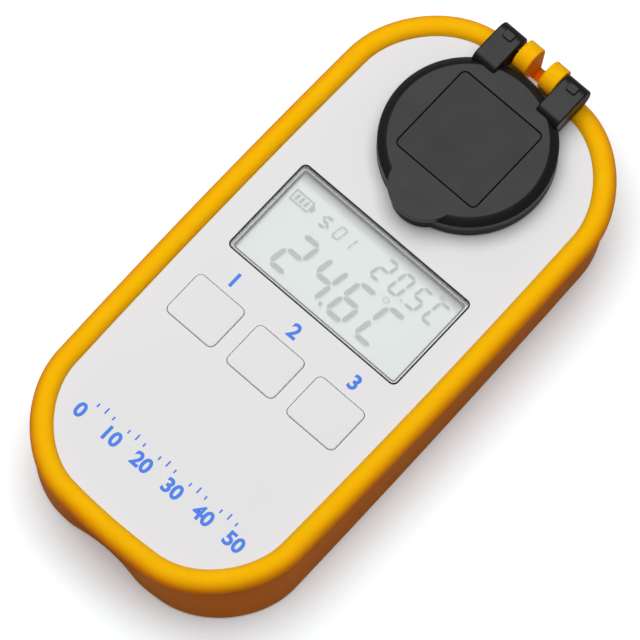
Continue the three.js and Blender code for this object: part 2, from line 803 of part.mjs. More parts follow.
function prismSolid() {
  const disc = post(0, lidY, dishWindowRadius - seatGap, prismTop - prismDisc, prismTop, roundSides);
  return join([disc, bar(prismShape(0), -prismHalfWidth, prismHalfWidth)]);
}

const ringRadius = dishWindowRadius + ringSection + seatGap;
function prismRing() {
  const middle = dishBottom - lipGap - ringSection;
  const profile = Array.from({ length: ringSteps }, (_, i) => i * 2 * Math.PI / ringSteps).map((angle) => [
    ringRadius + ringSection * Math.cos(angle), middle + ringSection * Math.sin(angle),
  ]);
  return turned(profile, 0, lidY);
}

// Optical block: a dark body whose two lower faces slope at 45 degrees. The lamp shines in through
// the far one and the line sensor looks in through the near one.
const slopeRise = blockDepth - blockSideDepth;
const slopeAngle = Math.atan2(slopeRise, blockHalfLength - blockHalfBottom);
const slopeMiddle = (side) => new THREE.Vector3(
  0, lidY + side * (blockHalfLength + blockHalfBottom) / 2, blockTop - blockSideDepth - slopeRise / 2,
);

// Places a solid drawn about the origin, with +Z pointing out of the block, on a sloping face.
function onSlope(solid, side) {
  const matrix = new THREE.Matrix4().makeRotationX(side * (slopeAngle - Math.PI));
  matrix.setPosition(slopeMiddle(side));
  return solid.transform(matrix.elements);
}

function opticalBlock() {
  const body = bar(polygon([
    [lidY - blockHalfBottom, blockTop - blockDepth],
    [lidY + blockHalfBottom, blockTop - blockDepth],
    [lidY + blockHalfLength, blockTop - blockSideDepth],
    [lidY + blockHalfLength, blockTop],
    [lidY - blockHalfLength, blockTop],
    [lidY - blockHalfLength, blockTop - blockSideDepth],
  ]), -blockHalfWidth, blockHalfWidth);
  const ears = block(
    [-earReach, earReach], [lidY - earHalfLength, lidY + earHalfLength], [blockTop - earThickness, blockTop],
  );
  const discSeat = post(
    0, lidY, ringRadius + ringSection + seatGap, prismTop - prismDisc - seatGap, blockTop + overrun, roundSides,
  );
  const prismSeat = bar(
    prismShape(2 * seatGap), -prismHalfWidth - 2 * seatGap, prismHalfWidth + 2 * seatGap,
  );
  const lampBore = onSlope(post(0, 0, lampRadius + seatGap, -blockHalfBottom, overrun), 1);
  const sightHalf = sensorWidth / 2 + seatGap;
  const sightBreadth = sensorBreadth / 2 + seatGap;
  const sensorWell = onSlope(block(
    [-sightHalf, sightHalf], [-sightBreadth, sightBreadth], [-sensorThickness - seatGap, overrun],
  ), -1);
  const sensorSight = onSlope(block(
    [-prismHalfWidth, prismHalfWidth], [-sensorBreadth / 4, sensorBreadth / 4], [-blockHalfBottom, 0],
  ), -1);
  const probeHole = post(
    probeX, lidY, probeRadius + seatGap, blockTop - probeLength - seatGap, blockTop + overrun,
  );
  const earHoles = earScrewPlaces.map(([x, y]) => post(
    x, y, smallScrewRadius + screwSlack / 2, blockTop - earThickness - overrun, blockTop + overrun,
  ));
  return cut(
    join([body, ears]), [discSeat, prismSeat, lampBore, sensorWell, sensorSight, probeHole, ...earHoles],
  );
}

function lampSolid() {
  const dome = lampLength - lampRadius;
  const profile = [
    [0, seatGap + lampFlange], [lampRadius + lampFlange, seatGap + lampFlange],
    [lampRadius + lampFlange, seatGap], [lampRadius, seatGap], [lampRadius, -dome],
    [lampRadius * Math.SQRT1_2, -dome - lampRadius * Math.SQRT1_2], [0, -lampLength],
  ];
  return onSlope(turned(profile, 0, 0, smallSides), 1);
}

function sensorSolid() {
  const half = sensorWidth / 2;
  return onSlope(block([-half, half], [-sensorBreadth / 2, sensorBreadth / 2], [-sensorThickness, 0]), -1);
}

function sensorBoardSolid() {
  const shape = roundedRectangle(sensorBoardWidth, sensorBoardBreadth, sensorBoardThickness);
  return onSlope(slab(shape, seatGap, seatGap + sensorBoardThickness), -1);
}

// Main board, notched round the near case bosses, with its chip, and the flat cable that hangs
// from its end to the sensor board.
function boardSolid() {
  const length = boardHigh - boardLow;
  const shape = roundedRectangle(2 * boardHalfWidth, length, boardBossRadius, 0, (boardLow + boardHigh) / 2);
  const holes = boardBossPlaces.map(([x, y]) => post(
    x, y, smallScrewRadius + screwSlack / 2, boardBottom - overrun, boardTop + overrun,
  ));
  const notches = caseBossPlaces.map(([x, y]) => post(
    x, y, panelBossRadius + boardNotchGap, boardBottom - overrun, boardTop + overrun,
  ));
  return cut(slab(shape, boardBottom, boardTop), [...holes, ...notches]);
}

function ribbonSolid() {
  const start = boardHigh - ribbonWidth / 2;
  const high = boardBottom - lipGap;
  const out = seatGap + sensorBoardThickness + lipGap;
  const normal = new THREE.Vector2(-Math.sin(slopeAngle), -Math.cos(slopeAngle));
  const along = new THREE.Vector2(Math.cos(slopeAngle), -Math.sin(slopeAngle));
  const foot = slopeMiddle(-1);
  const meet = new THREE.Vector2(foot.y, foot.z).addScaledVector(normal, out);
  const end = meet.clone().addScaledVector(along, sensorBoardBreadth / 4);
  const bend = meet.clone().addScaledVector(along, -sensorBoardBreadth / 2);
  const outer = normal.clone().multiplyScalar(ribbonThickness);
  return bar(polygon([
    [start, high],
    [start, high - ribbonThickness],
    [boardHigh - ribbonThickness, high - ribbonThickness],
    [bend.x + outer.x, bend.y + outer.y],
    [end.x + outer.x, end.y + outer.y],
    [end.x, end.y],
    [bend.x, bend.y],
    [boardHigh, high],
  ]), -ribbonWidth / 2, ribbonWidth / 2);
}

// Display: a clear window set flush in the panel, the glass below it in its holder, and two rows
// of connector rubber that stand on the board.
function windowSolid() {
  const top = faceHeight - windowSink;
  const low = top - windowThickness;
  const half = [windowWidth / 2 - seatGap, windowLength / 2 - seatGap];
  const corner = windowCorner - seatGap;
  const outline = (inset) => roundedPoints(half[0] - inset, half[1] - inset, corner - inset / 2, 0, 0, 5);
  const solid = loft([
    { points: outline(0), height: low },
    { points: outline(0), height: top - windowBevel / 2 },
    { points: outline(windowBevel), height: top },
  ]);
  return solid.translate([0, windowY, 0]);
}

function glassSolid() {
  return block(
    [-glassWidth / 2, glassWidth / 2], [windowY - glassLength / 2, windowY + glassLength / 2],
    [glassBottom, glassTop],
  );
}

function holderSolid() {
  const inner = [glassWidth / 2 + seatGap, glassLength / 2 + seatGap];
  const outerHalf = inner.map((half) => half + holderRim);
  const low = boardTop + stackGap;
  const shape = roundedRectangle(2 * outerHalf[0], 2 * outerHalf[1], holderRim, 0, windowY);
  const hole = block([-inner[0], inner[0]], [windowY - inner[1], windowY + inner[1]], [low - overrun, glassTop + overrun]);
  return cut(slab(shape, low, glassTop), [hole]);
}

function connectorSolid(side) {
  const half = glassWidth / 2 - connectorBreadth;
  const y = windowY + side * (glassLength / 2 - connectorBreadth);
  return block(
    [-half, half], [y - connectorBreadth / 2, y + connectorBreadth / 2],
    [boardTop + stackGap, glassBottom - stackGap],
  );
}

// A key: a crowned cap that fills its opening, over a flange that stops it under the panel.
function keySolid(x) {
  const half = [keyWidth / 2 - keyGap, keyLength / 2 - keyGap];
  const corner = keyCorner - keyGap;
  const top = faceHeight + keyProud;
  const outline = (grow) => roundedPoints(half[0] + grow, half[1] + grow, corner, 0, 0, 4);
  const solid = loft([
    { points: outline(keyFlange), height: keyLow },
    { points: outline(keyFlange), height: keyStop },
    { points: outline(0), height: keyStop },
    { points: outline(0), height: top - keyCrown / 2 },
    { points: outline(-keyCrown / 2), height: top },
    { points: outline(-keyWidth / 4), height: top + keyCrown / 2 },
  ]);
  return solid.translate([x, keyY, 0]);
}

function switchSolid(x) {
  const half = switchSide / 2;
  const low = boardTop + stackGap;
  const top = low + switchHeight;
  const body = block([x - half, x + half], [keyY - half, keyY + half], [low, top]);
  return join([body, post(x, keyY, plungerRadius, top - lipGap, keyLow - keyTravel - lipGap)]);
}

// Cell and its two leaf contacts, all along the middle of the body.
function cellSolid() {
  const can = new THREE.CylinderGeometry(cellRadius, cellRadius, cellLength, roundSides);
  can.translate(0, (cellStart + cellEnd) / 2, cellZ);
  const cap = new THREE.CylinderGeometry(cellNubRadius, cellNubRadius, 2 * cellNubLength, smallSides);
  cap.translate(0, cellEnd, cellZ);
  return join([solidOf(can), solidOf(cap)]);
}

function plusContact() {
  const low = cellEnd + cellNubLength + lipGap;
  return block(
    [-contactHalfWidth, contactHalfWidth], [low, low + contactThickness],
    [cellZ - contactHeight / 2, cellZ + contactHeight / 2],
  );
}

// The minus leaf is bowed, so that it presses on the middle of the cell's flat end.
function minusContact() {
  const high = cellZ + contactHeight / 2;
  const low = cellZ - contactHeight / 2;
  const back = cellStart - contactSpring - contactThickness;
  const front = cellStart - lipGap;
  const shape = new THREE.Shape();
  shape.moveTo(back, low);
  shape.quadraticCurveTo(2 * front - back, cellZ, back, high);
  shape.lineTo(back - contactThickness, high);
  shape.quadraticCurveTo(2 * (front - contactThickness) - back, cellZ, back - contactThickness, low);
  shape.closePath();
  return bar(shape, -contactHalfWidth, contactHalfWidth);
}

piece("front_panel", frontPanel(), whitePlastic());
piece("bumper_frame", bumperFrame(), yellowPlastic());
piece("rear_shell", rearShell(), yellowPlastic());

piece("lid", lidSolid(), blackPlastic());
piece("lid_inlay", inlaySolid(), plastic("#454648", 0.45));
piece("lid_seal", sealSolid(), plastic("#1b1b1c", 0.8));
piece("hinge_pin_left", hingePin(-1), metal("#b8babd", 0.3));
piece("hinge_pin_right", hingePin(1), metal("#b8babd", 0.3));

piece("sample_dish", dishSolid(), metal("#c4c6c8", 0.25));
piece("prism", prismSolid(), plastic("#cfe0e4", 0.05));
piece("prism_ring", prismRing(), plastic("#1b1b1c", 0.8));
piece("optical_block", opticalBlock(), plastic("#222324", 0.6));
piece("lamp", lampSolid(), plastic("#f3d98a", 0.15));
piece("line_sensor", sensorSolid(), plastic("#303236", 0.3));
piece("sensor_board", sensorBoardSolid(), plastic("#1d6b3a", 0.5));
piece("ribbon_cable", ribbonSolid(), plastic("#d8d2c0", 0.6));
piece("temperature_probe", post(
  probeX, lidY, probeRadius, blockTop - probeLength, blockTop + stackGap,
), metal("#a88a5a", 0.4));
earScrewPlaces.forEach(([x, y], i) => piece(`block_screw_${i + 1}`, screw(
  x, y, blockTop - earThickness - smallHeadHeight - stackGap, smallHeadRadius, smallHeadHeight,
  smallScrewRadius, smallScrewReach,
), metal("#9a9c9f", 0.35)));

piece("display_window", windowSolid(), plastic("#e6efec", 0.08));
piece("display_glass", glassSolid(), plastic("#dee6e2", 0.2));
piece("display_holder", holderSolid(), plastic("#e8e8e6", 0.5));
piece("display_connector_near", connectorSolid(-1), plastic("#3a3a3c", 0.8));
piece("display_connector_far", connectorSolid(1), plastic("#3a3a3c", 0.8));
piece("main_board", boardSolid(), plastic("#1d6b3a", 0.5));
piece("controller_chip", block(
  [chipX - chipSide / 2, chipX + chipSide / 2], [chipY - chipSide / 2, chipY + chipSide / 2],
  [boardBottom - chipThickness - lipGap, boardBottom - lipGap],
), plastic("#1c1d1f", 0.5));
boardBossPlaces.forEach(([x, y], i) => piece(`board_screw_${i + 1}`, screw(
  x, y, boardBottom - smallHeadHeight - stackGap, smallHeadRadius, smallHeadHeight,
  smallScrewRadius, smallScrewReach,
), metal("#9a9c9f", 0.35)));

["left", "middle", "right"].forEach((side, i) => {
  piece(`${side}_key`, keySolid(keyPlaces[i]), whitePlastic());
  piece(`${side}_switch`, switchSolid(keyPlaces[i]), plastic("#26272a", 0.4));
});

piece("battery_cell", cellSolid(), plastic("#3c4a58", 0.35));
piece("contact_plus", plusContact(), metal("#c9c4b4", 0.3));
piece("contact_minus", minusContact(), metal("#c9c4b4", 0.3));
piece("battery_door", batteryDoor(), yellowPlastic());
piece("door_screw", screw(
  0, doorScrewY, doorSink, smallHeadRadius, smallHeadHeight - stackGap, screwRadius, screwReach,
), metal("#9a9c9f", 0.35));
caseBossPlaces.forEach(([x, y], i) => piece(`case_screw_${i + 1}`, screw(
  x, y, screwHeadSink, screwHeadRadius, screwHeadHeight, screwRadius,
  bossMeetHeight + screwReach - screwHeadSink - screwHeadHeight,
), metal("#9a9c9f", 0.35)));

// The knuckles reach past the far end of the body, so the middle of the whole lies past the face's.
const backReach = hingeY + knuckleRadius - bodyHalfLength;
parts.position.y = -backReach / 2;

const refractometer = new THREE.Group();
refractometer.name = "refractometer";
refractometer.add(parts);

export default refractometer;
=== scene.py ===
import bmesh
import bpy
import numpy as np
from mathutils import Matrix, Vector
from mathutils.geometry import tessellate_polygon


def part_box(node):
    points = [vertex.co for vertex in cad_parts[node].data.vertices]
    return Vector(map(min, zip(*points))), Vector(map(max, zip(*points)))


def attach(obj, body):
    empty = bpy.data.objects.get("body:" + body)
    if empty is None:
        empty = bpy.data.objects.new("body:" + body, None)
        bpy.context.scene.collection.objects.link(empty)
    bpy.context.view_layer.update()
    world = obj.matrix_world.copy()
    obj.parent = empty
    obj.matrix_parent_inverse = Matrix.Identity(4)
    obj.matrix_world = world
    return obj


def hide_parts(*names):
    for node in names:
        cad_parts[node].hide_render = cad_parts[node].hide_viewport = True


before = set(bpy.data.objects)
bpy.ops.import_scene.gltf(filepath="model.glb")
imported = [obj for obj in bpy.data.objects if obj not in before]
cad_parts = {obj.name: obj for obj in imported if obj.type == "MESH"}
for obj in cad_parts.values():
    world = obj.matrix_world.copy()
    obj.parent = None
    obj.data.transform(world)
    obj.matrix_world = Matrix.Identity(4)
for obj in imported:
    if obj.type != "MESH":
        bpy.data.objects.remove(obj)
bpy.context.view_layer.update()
MM = 0.001

# Rear shell: a tub moulded in yellow plastic. Its walls run from the frame's skirt down to a smaller
# base with a round lower edge, and a scallop hollows its near end. Four screws rise through wells in
# the base, and a door closes the battery bay between them.

FACE_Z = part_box("front_panel")[1].z
BODY_HALF_WIDTH = 29.0 * MM
BODY_HALF_LENGTH = 58.7 * MM
FACE_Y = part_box("bumper_frame")[0].y + BODY_HALF_LENGTH
SIDE_STEPS, CORNER_STEPS, END_STEPS = 110, 60, 56


def bowed_outline(half_width, half_length, corner, side_bow, end_bow, narrowing=0.0):
    """An outline seen from above, counterclockwise, as points and outward normals. Each point is one of an
    inner rectangle plus the corner's radius in the direction that it faces. The sides then bow by side_bow
    times the square of the share along, the ends by end_bow times the square of the share across, and the
    whole narrows evenly towards the hinge."""
    inner = np.array([half_width - corner, half_length - corner])
    signs = np.array([[1, -1], [1, 1], [1, 1], [-1, 1], [-1, 1], [-1, -1], [-1, -1], [1, -1], [1, -1]])
    quarters = np.array([0, 0, 1, 1, 2, 2, 3, 3, 4])
    steps = (SIDE_STEPS, CORNER_STEPS, END_STEPS, CORNER_STEPS) * 2
    walk = np.concatenate([run + np.arange(count) / count for run, count in enumerate(steps)])
    knots = np.arange(len(quarters))
    facing = np.interp(walk, knots, quarters * np.pi / 2)
    x = np.interp(walk, knots, signs[:, 0] * inner[0]) + corner * np.cos(facing)
    y = np.interp(walk, knots, signs[:, 1] * inner[1]) + corner * np.sin(facing)
    across, along = x / half_width, y / half_length
    slimmer = half_width - side_bow * along**2 - narrowing * along
    shorter = half_length - end_bow * across**2
    points = np.stack([across * slimmer, along * shorter], axis=1)
    tangent = np.roll(points, -1, axis=0) - np.roll(points, 1, axis=0)
    outward = np.stack([tangent[:, 1], -tangent[:, 0]], axis=1)
    return points, outward / np.linalg.norm(outward, axis=1, keepdims=True)


def rings(outline, section):
    """A section of insets and heights carried round an outline: each row of the grid is the outline moved
    inwards by that inset, at that height."""
    points, outward = outline
    section = np.asarray(section)
    flat = points[None] - section[:, 0, None, None] * outward[None]
    heights = np.broadcast_to(section[:, 1, None, None], flat.shape[:2] + (1,))
    return np.concatenate([flat, heights], axis=2)


def skin(grid, round_rows=False, round_columns=True):
    """Four-sided faces between neighbouring points of a grid. The last row or column joins the first where
    the surface closes on itself."""
    rows, columns = grid.shape[:2]
    number = np.arange(rows * columns).reshape(rows, columns)
    if round_rows:
        number = np.vstack([number, number[:1]])
    if round_columns:
        number = np.hstack([number, number[:, :1]])
    faces = np.stack([number[:-1, :-1], number[:-1, 1:], number[1:, 1:], number[1:, :-1]], axis=-1)
    return grid.reshape(-1, 3), faces.reshape(-1, 4)


def plate(*loops):
    """Flat triangles that fill an outer loop of points, less the loops of its holes."""
    faces = tessellate_polygon([[Vector(point) for point in loop] for loop in loops])
    return np.concatenate(loops), np.array(faces)


def piece(name, skins, body, finish, replaced=(), crease=35):
    """One mesh from skins, each a pair of points and faces: doubles merged, faces turned outwards, and
    shaded smooth but for edges that turn by more than crease degrees."""
    starts = np.cumsum([0] + [len(points) for points, _ in skins[:-1]])
    corner_counts = np.concatenate([np.full(len(faces), faces.shape[1]) for _, faces in skins])
    corners = np.concatenate([(faces + start).ravel() for (_, faces), start in zip(skins, starts)])
    points = np.concatenate([points for points, _ in skins])
    mesh = bpy.data.meshes.new(name)
    mesh.vertices.add(len(points))
    mesh.vertices.foreach_set("co", points.ravel())
    mesh.loops.add(len(corners))
    mesh.loops.foreach_set("vertex_index", corners)
    mesh.polygons.add(len(corner_counts))
    mesh.polygons.foreach_set("loop_start", np.cumsum(corner_counts) - corner_counts)
    mesh.update(calc_edges=True)
    return finished(name, mesh, body, finish, replaced, crease)


def finished(name, mesh, body, finish, replaced, crease):
    """Welds a mesh, turns its faces outwards, shades it and hangs it on its body in place of its nodes."""
    weld = 0.002 * MM
    work = bmesh.new()
    work.from_mesh(mesh)
    bmesh.ops.remove_doubles(work, verts=work.verts, dist=weld)
    bmesh.ops.recalc_face_normals(work, faces=work.faces)
    work.to_mesh(mesh)
    work.free()
    mesh.shade_smooth()
    mesh.set_sharp_from_angle(angle=np.radians(crease))
    mesh.materials.clear()
    mesh.materials.append(finish)
    made = bpy.data.objects.new(name, mesh)
    bpy.context.scene.collection.objects.link(made)
    shading = made.modifiers.new("even_shading", "WEIGHTED_NORMAL")
    shading.keep_sharp = True
    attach(made, body)
    if replaced:
        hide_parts(*replaced)
    return made


def fill_inputs(tree, node, inputs):
    """Gives each input of a node, by its name or number, a value or a link from another node's output."""
    for socket, value in inputs.items():
        if isinstance(value, bpy.types.NodeSocket):
            tree.links.new(value, node.inputs[socket])
        else:
            node.inputs[socket].default_value = value


def shader_node(tree, kind, inputs=None, **settings):
    """Adds a node of that kind to a material's or the world's tree."""
    node = tree.nodes.new("ShaderNode" + kind)
    for name, value in settings.items():
        setattr(node, name, value)
    fill_inputs(tree, node, inputs or {})
    return node


def blank_finish(name):
    """A new material, its tree and its main shader."""
    finish = bpy.data.materials.new(name)
    finish.use_nodes = True
    return finish, finish.node_tree, finish.node_tree.nodes["Principled BSDF"]


CLOUD_SIZE = 14 * MM
HANDLED_SIZE = 5 * MM
SCATTER_SHARES = (1, 0.35, 0.08)


def moulded_plastic(name, colour, roughness, cloud=0.02, spread=0.03, grain=0.25 * MM, depth=0.003 * MM,
                    specular=0.5, sheen=(1, 1, 1), shade=None, side=None, glow=0.0):
    """Moulded plastic: its colour is faintly cloudy, its gloss varies where it was handled, and the mould's
    spark-eroded grain stands out as a fine bump. All follow noise in Object coordinates. A shade is painted
    shade: a second colour that takes over between two places of an axis. A side is painted shade too: a
    colour that takes over by a share where the piece's attribute says that its surface is upright. Glow is the
    share of light that enters the plastic and leaves it about a millimetre away, red light farthest."""
    finish, tree, shader = blank_finish(name)
    place = shader_node(tree, "TexCoord").outputs["Object"]

    def noise(size, detail):
        return shader_node(tree, "TexNoise", {"Vector": place, "Scale": 1 / size, "Detail": detail}).outputs["Fac"]

    def mix(factor, first, second, blend="MIX"):
        return shader_node(tree, "Mix", {"Factor": factor, "A": first, "B": second}, data_type="RGBA",
                           blend_type=blend).outputs["Result"]

    def spread_over(value, low, high, to_low, to_high):
        return shader_node(tree, "MapRange", {"Value": value, "From Min": low, "From Max": high,
                                              "To Min": to_low, "To Max": to_high}).outputs["Result"]

    tint = (*colour, 1)
    if side:
        upright = shader_node(tree, "Attribute", attribute_name="upright").outputs["Fac"]
        tint = mix(spread_over(upright, 0, 1, 0, side[1]), tint, (*side[0], 1))
    if shade:
        axes = shader_node(tree, "SeparateXYZ", {"Vector": place})
        tint = mix(spread_over(axes.outputs[shade[1]], shade[2], shade[3], 0, 1), (*shade[0], 1), tint)
    clouds = spread_over(noise(CLOUD_SIZE, 4), 0.3, 0.7, 0, 1)
    paler = mix(clouds, (1 - cloud, 1 - cloud, 1 - cloud, 1), (1, 1, 1, 1))
    bump = shader_node(tree, "Bump", {"Distance": depth, "Height": noise(grain, 2)})
    fill_inputs(tree, shader, {
        "Base Color": mix(1.0, tint, paler, "MULTIPLY"),
        "Roughness": spread_over(noise(HANDLED_SIZE, 6), 0.3, 0.7, roughness - spread, roughness + spread),
        "Normal": bump.outputs["Normal"], "Specular IOR Level": specular, "Specular Tint": (*sheen, 1),
        "Subsurface Weight": glow, "Subsurface Radius": SCATTER_SHARES, "Subsurface Scale": 1.0 * MM,
    })
    return finish


# Painted shade: the tub is of the frame's yellow plastic, here deepened to orange for the shade on its walls under the
# frame's roll.
TUB_SHADE_ORANGE = (0.99, 0.215, 0.014)
WARM_SHEEN = (1, 0.55, 0.06)
shaded_tub_plastic = moulded_plastic("shaded_tub_plastic", TUB_SHADE_ORANGE, 0.45, specular=0.06, sheen=WARM_SHEEN, glow=0.9)

SKIRT_INSET = 1.05 * MM
PARTING_Z = FACE_Z - 4.9 * MM
PARTING_GAP = 0.12 * MM
WALL = 2.0 * MM
FLOOR = 2.0 * MM
widest_line = bowed_outline(BODY_HALF_WIDTH, BODY_HALF_LENGTH, corner=18.4 * MM, side_bow=0.94 * MM,
                            end_bow=3.2 * MM)
BASE_HALF_WIDTH = 27.8 * MM
BASE_HALF_LENGTH = 56.7 * MM
base_line = bowed_outline(BASE_HALF_WIDTH, BASE_HALF_LENGTH, corner=16.0 * MM, side_bow=0.57 * MM,
                          end_bow=3.0 * MM, narrowing=0.85 * MM)
SCALLOP_HALF = 8.5 * MM
SCALLOP_DEPTH = 1.2 * MM
SCALLOP_SHIFT = -1.2 * MM
SCALLOP_EDGE = 0.4 * MM
SCALLOP_RADIUS = (SCALLOP_HALF**2 + SCALLOP_DEPTH**2) / (2 * SCALLOP_DEPTH)
SCALLOP_Y = SCALLOP_DEPTH - BASE_HALF_LENGTH - SCALLOP_RADIUS


def to_place(grid):
    """Moves a grid drawn about the middle of the face to its place in the part."""
    return grid + np.array([0, FACE_Y, 0])


def wall_rings(section, scallop_growth):
    """Rings of the tub's wall. Each lies between the base line and the skirt's line by its height, moved
    inwards by its inset, and the near end is pushed out of a round cutter with a slightly soft edge."""
    section = np.asarray(section)
    low = rings(base_line, section)
    high = rings(widest_line, section + [SKIRT_INSET, 0])
    share = np.minimum(section[:, 1] / PARTING_Z, 1)[:, None, None]
    grid = low * (1 - share) + high * share
    radius = SCALLOP_RADIUS + section[:, 0, None] * scallop_growth[0] + scallop_growth[1]
    edge = SCALLOP_Y + np.sqrt(np.clip(radius**2 - (grid[..., 0] - SCALLOP_SHIFT) ** 2, 0, None))
    depth = edge - grid[..., 1]
    grid[..., 1] += (depth + np.sqrt(depth**2 + SCALLOP_EDGE**2)) / 2
    return grid


def circle(x, y, radius, z, sides=48):
    """A level ring of points about (x, y)."""
    angle = np.arange(sides) / sides * 2 * np.pi
    return np.stack([x + radius * np.cos(angle), y + radius * np.sin(angle), np.full(sides, z)], axis=1)


def turned(profile, x, y):
    """A profile of radii and heights turned about a vertical axis at (x, y)."""
    return skin(np.stack([circle(x, y, radius, z) for radius, z in profile]))


def rounded_rectangle(half_width, half_length, corner, x, y, z, steps=10):
    """A level ring round a rectangle with round corners: each quarter circle stands at its own corner."""
    facing = (np.arange(4)[:, None] + np.linspace(0, 1, steps + 1)[None]) * np.pi / 2
    signs = np.array([[1, 1], [-1, 1], [-1, -1], [1, -1]])
    flat_x = x + signs[:, :1] * (half_width - corner) + corner * np.cos(facing)
    flat_y = y + signs[:, 1:] * (half_length - corner) + corner * np.sin(facing)
    return np.stack([flat_x.ravel(), flat_y.ravel(), np.full(flat_x.size, z)], axis=1)


def quarter_round(inset, z, radius, steps=6):
    """Insets and heights of a round lower edge that rises from level to upright."""
    angle = np.linspace(0, np.pi / 2, steps + 1)
    return np.stack([inset + radius * (1 - np.sin(angle)), z + radius * (1 - np.cos(angle))], axis=1)


BASE_ROUND = 1.1 * MM
top = PARTING_Z - PARTING_GAP
tongue_inset = 1.3 * MM
tongue_inner = tongue_inset + 1.0 * MM
tongue_top = top + 1.4 * MM
edge = 0.15 * MM
outer_section = np.concatenate([
    quarter_round(0, 0, BASE_ROUND),
    [[0, z] for z in np.linspace(2 * MM, top - edge, 8)],
    [[0.3 * edge, top - 0.3 * edge], [edge, top], [tongue_inset, top]],
])
inner_section = [[tongue_inset, tongue_top], [tongue_inner, tongue_top], [tongue_inner, top]]
outer_wall = to_place(wall_rings(outer_section, (1, 0)))
tongue_wall = to_place(wall_rings(inner_section, (0, WALL)))
inner_wall = to_place(wall_rings([[WALL, FLOOR]], (0, WALL)))
wall_grid = np.concatenate([outer_wall, tongue_wall, inner_wall])

door_low, door_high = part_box("battery_door")
tongue_reach = 1.0 * MM
seat_gap = 0.15 * MM
seat_y = (door_low.y + tongue_reach + door_high.y) / 2
seat_half = ((door_high.x - door_low.x) / 2 + seat_gap, (door_high.y - door_low.y - tongue_reach) / 2 + seat_gap)
seat_top = door_high.z + 0.1 * MM
SEAT_CORNER = 2.15 * MM
bay_near, bay_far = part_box("contact_minus")[0].y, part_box("contact_plus")[1].y
bay_half = (5.75 * MM, (bay_far - bay_near) / 2 + 0.5 * MM)
bay_y = (bay_far + bay_near) / 2
bay_corner = 0.3 * MM
bay_wall = 1.2 * MM
bay_top = 9.0 * MM


def seat_loop(z):
    """The door's seat at a height: a level ring round the door with its gap."""
    return rounded_rectangle(*seat_half, SEAT_CORNER, 0, seat_y, z)


def bay_loop(grow, z):
    """The battery bay's opening at a height, made larger all round by grow."""
    return rounded_rectangle(bay_half[0] + grow, bay_half[1] + grow, bay_corner + grow, 0, bay_y, z)


def middle_of(low, high):
    """The middle of a box, seen from above."""
    return (low.x + high.x) / 2, (low.y + high.y) / 2


screw_places = [middle_of(*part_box(f"case_screw_{number}")) for number in (1, 2, 3, 4)]
door_screw_y = middle_of(*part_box("door_screw"))[1]
WELL_RADIUS = 2.4 * MM
BOSS_RADIUS = 3.4 * MM
HEAD_SEAT_Z = 2.2 * MM
SHANK_HOLE = 1.25 * MM
BOSS_TOP_Z = 8.3 * MM
boss_profile = [(WELL_RADIUS, 0), (WELL_RADIUS, HEAD_SEAT_Z), (SHANK_HOLE, HEAD_SEAT_Z), (SHANK_HOLE, BOSS_TOP_Z),
                (BOSS_RADIUS, BOSS_TOP_Z), (BOSS_RADIUS, FLOOR)]
door_hole = 1.0 * MM
door_hole_top = 6.55 * MM
rear_skins = [
    skin(wall_grid),
    plate(wall_grid[0], seat_loop(0), *[circle(x, y, WELL_RADIUS, 0) for x, y in screw_places]),
    skin(np.stack([seat_loop(0), seat_loop(seat_top)])),
    plate(seat_loop(seat_top), bay_loop(0, seat_top), circle(0, door_screw_y, door_hole, seat_top)),
    skin(np.stack([bay_loop(0, seat_top), bay_loop(0, bay_top), bay_loop(bay_wall, bay_top),
                   bay_loop(bay_wall, FLOOR)])),
    plate(wall_grid[-1], bay_loop(bay_wall, FLOOR), *[circle(x, y, BOSS_RADIUS, FLOOR) for x, y in screw_places]),
    *[turned(boss_profile, x, y) for x, y in screw_places],
    skin(np.stack([circle(0, door_screw_y, door_hole, z) for z in (seat_top, door_hole_top)])),
    plate(circle(0, door_screw_y, door_hole, door_hole_top)),
]
piece("tub", rear_skins, "base", shaded_tub_plastic, ["rear_shell"], crease=40)


def softened(name, node, body, finish, rounding):
    """A welded copy of a node's mesh whose sharp edges get a small round."""
    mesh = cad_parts[node].data.copy()
    made = finished(name, mesh, body, finish, [node], 30)
    bevel = made.modifiers.new("round_edges", "BEVEL")
    bevel.width = rounding
    bevel.segments = 2
    bevel.limit_method = "ANGLE"
    bevel.angle_limit = np.radians(40)
    made.modifiers.move(1, 0)


EDGE_ROUND = 0.12 * MM
softened("door", "battery_door", "base", shaded_tub_plastic, EDGE_ROUND)

# Frame: a yellow ring moulded in one with the hinge's two knuckles. Its rolled rim laps over the
# panel's edge, its ledge carries the panel from below, and its skirt meets the tub.


def arc(centre, radius, start, end, steps):
    """Points of a circular arc in the plane of a section, from one angle to another in degrees."""
    angle = np.radians(np.linspace(start, end, steps + 1))
    return np.stack([centre[0] + radius * np.cos(angle), centre[1] + radius * np.sin(angle)], axis=1)
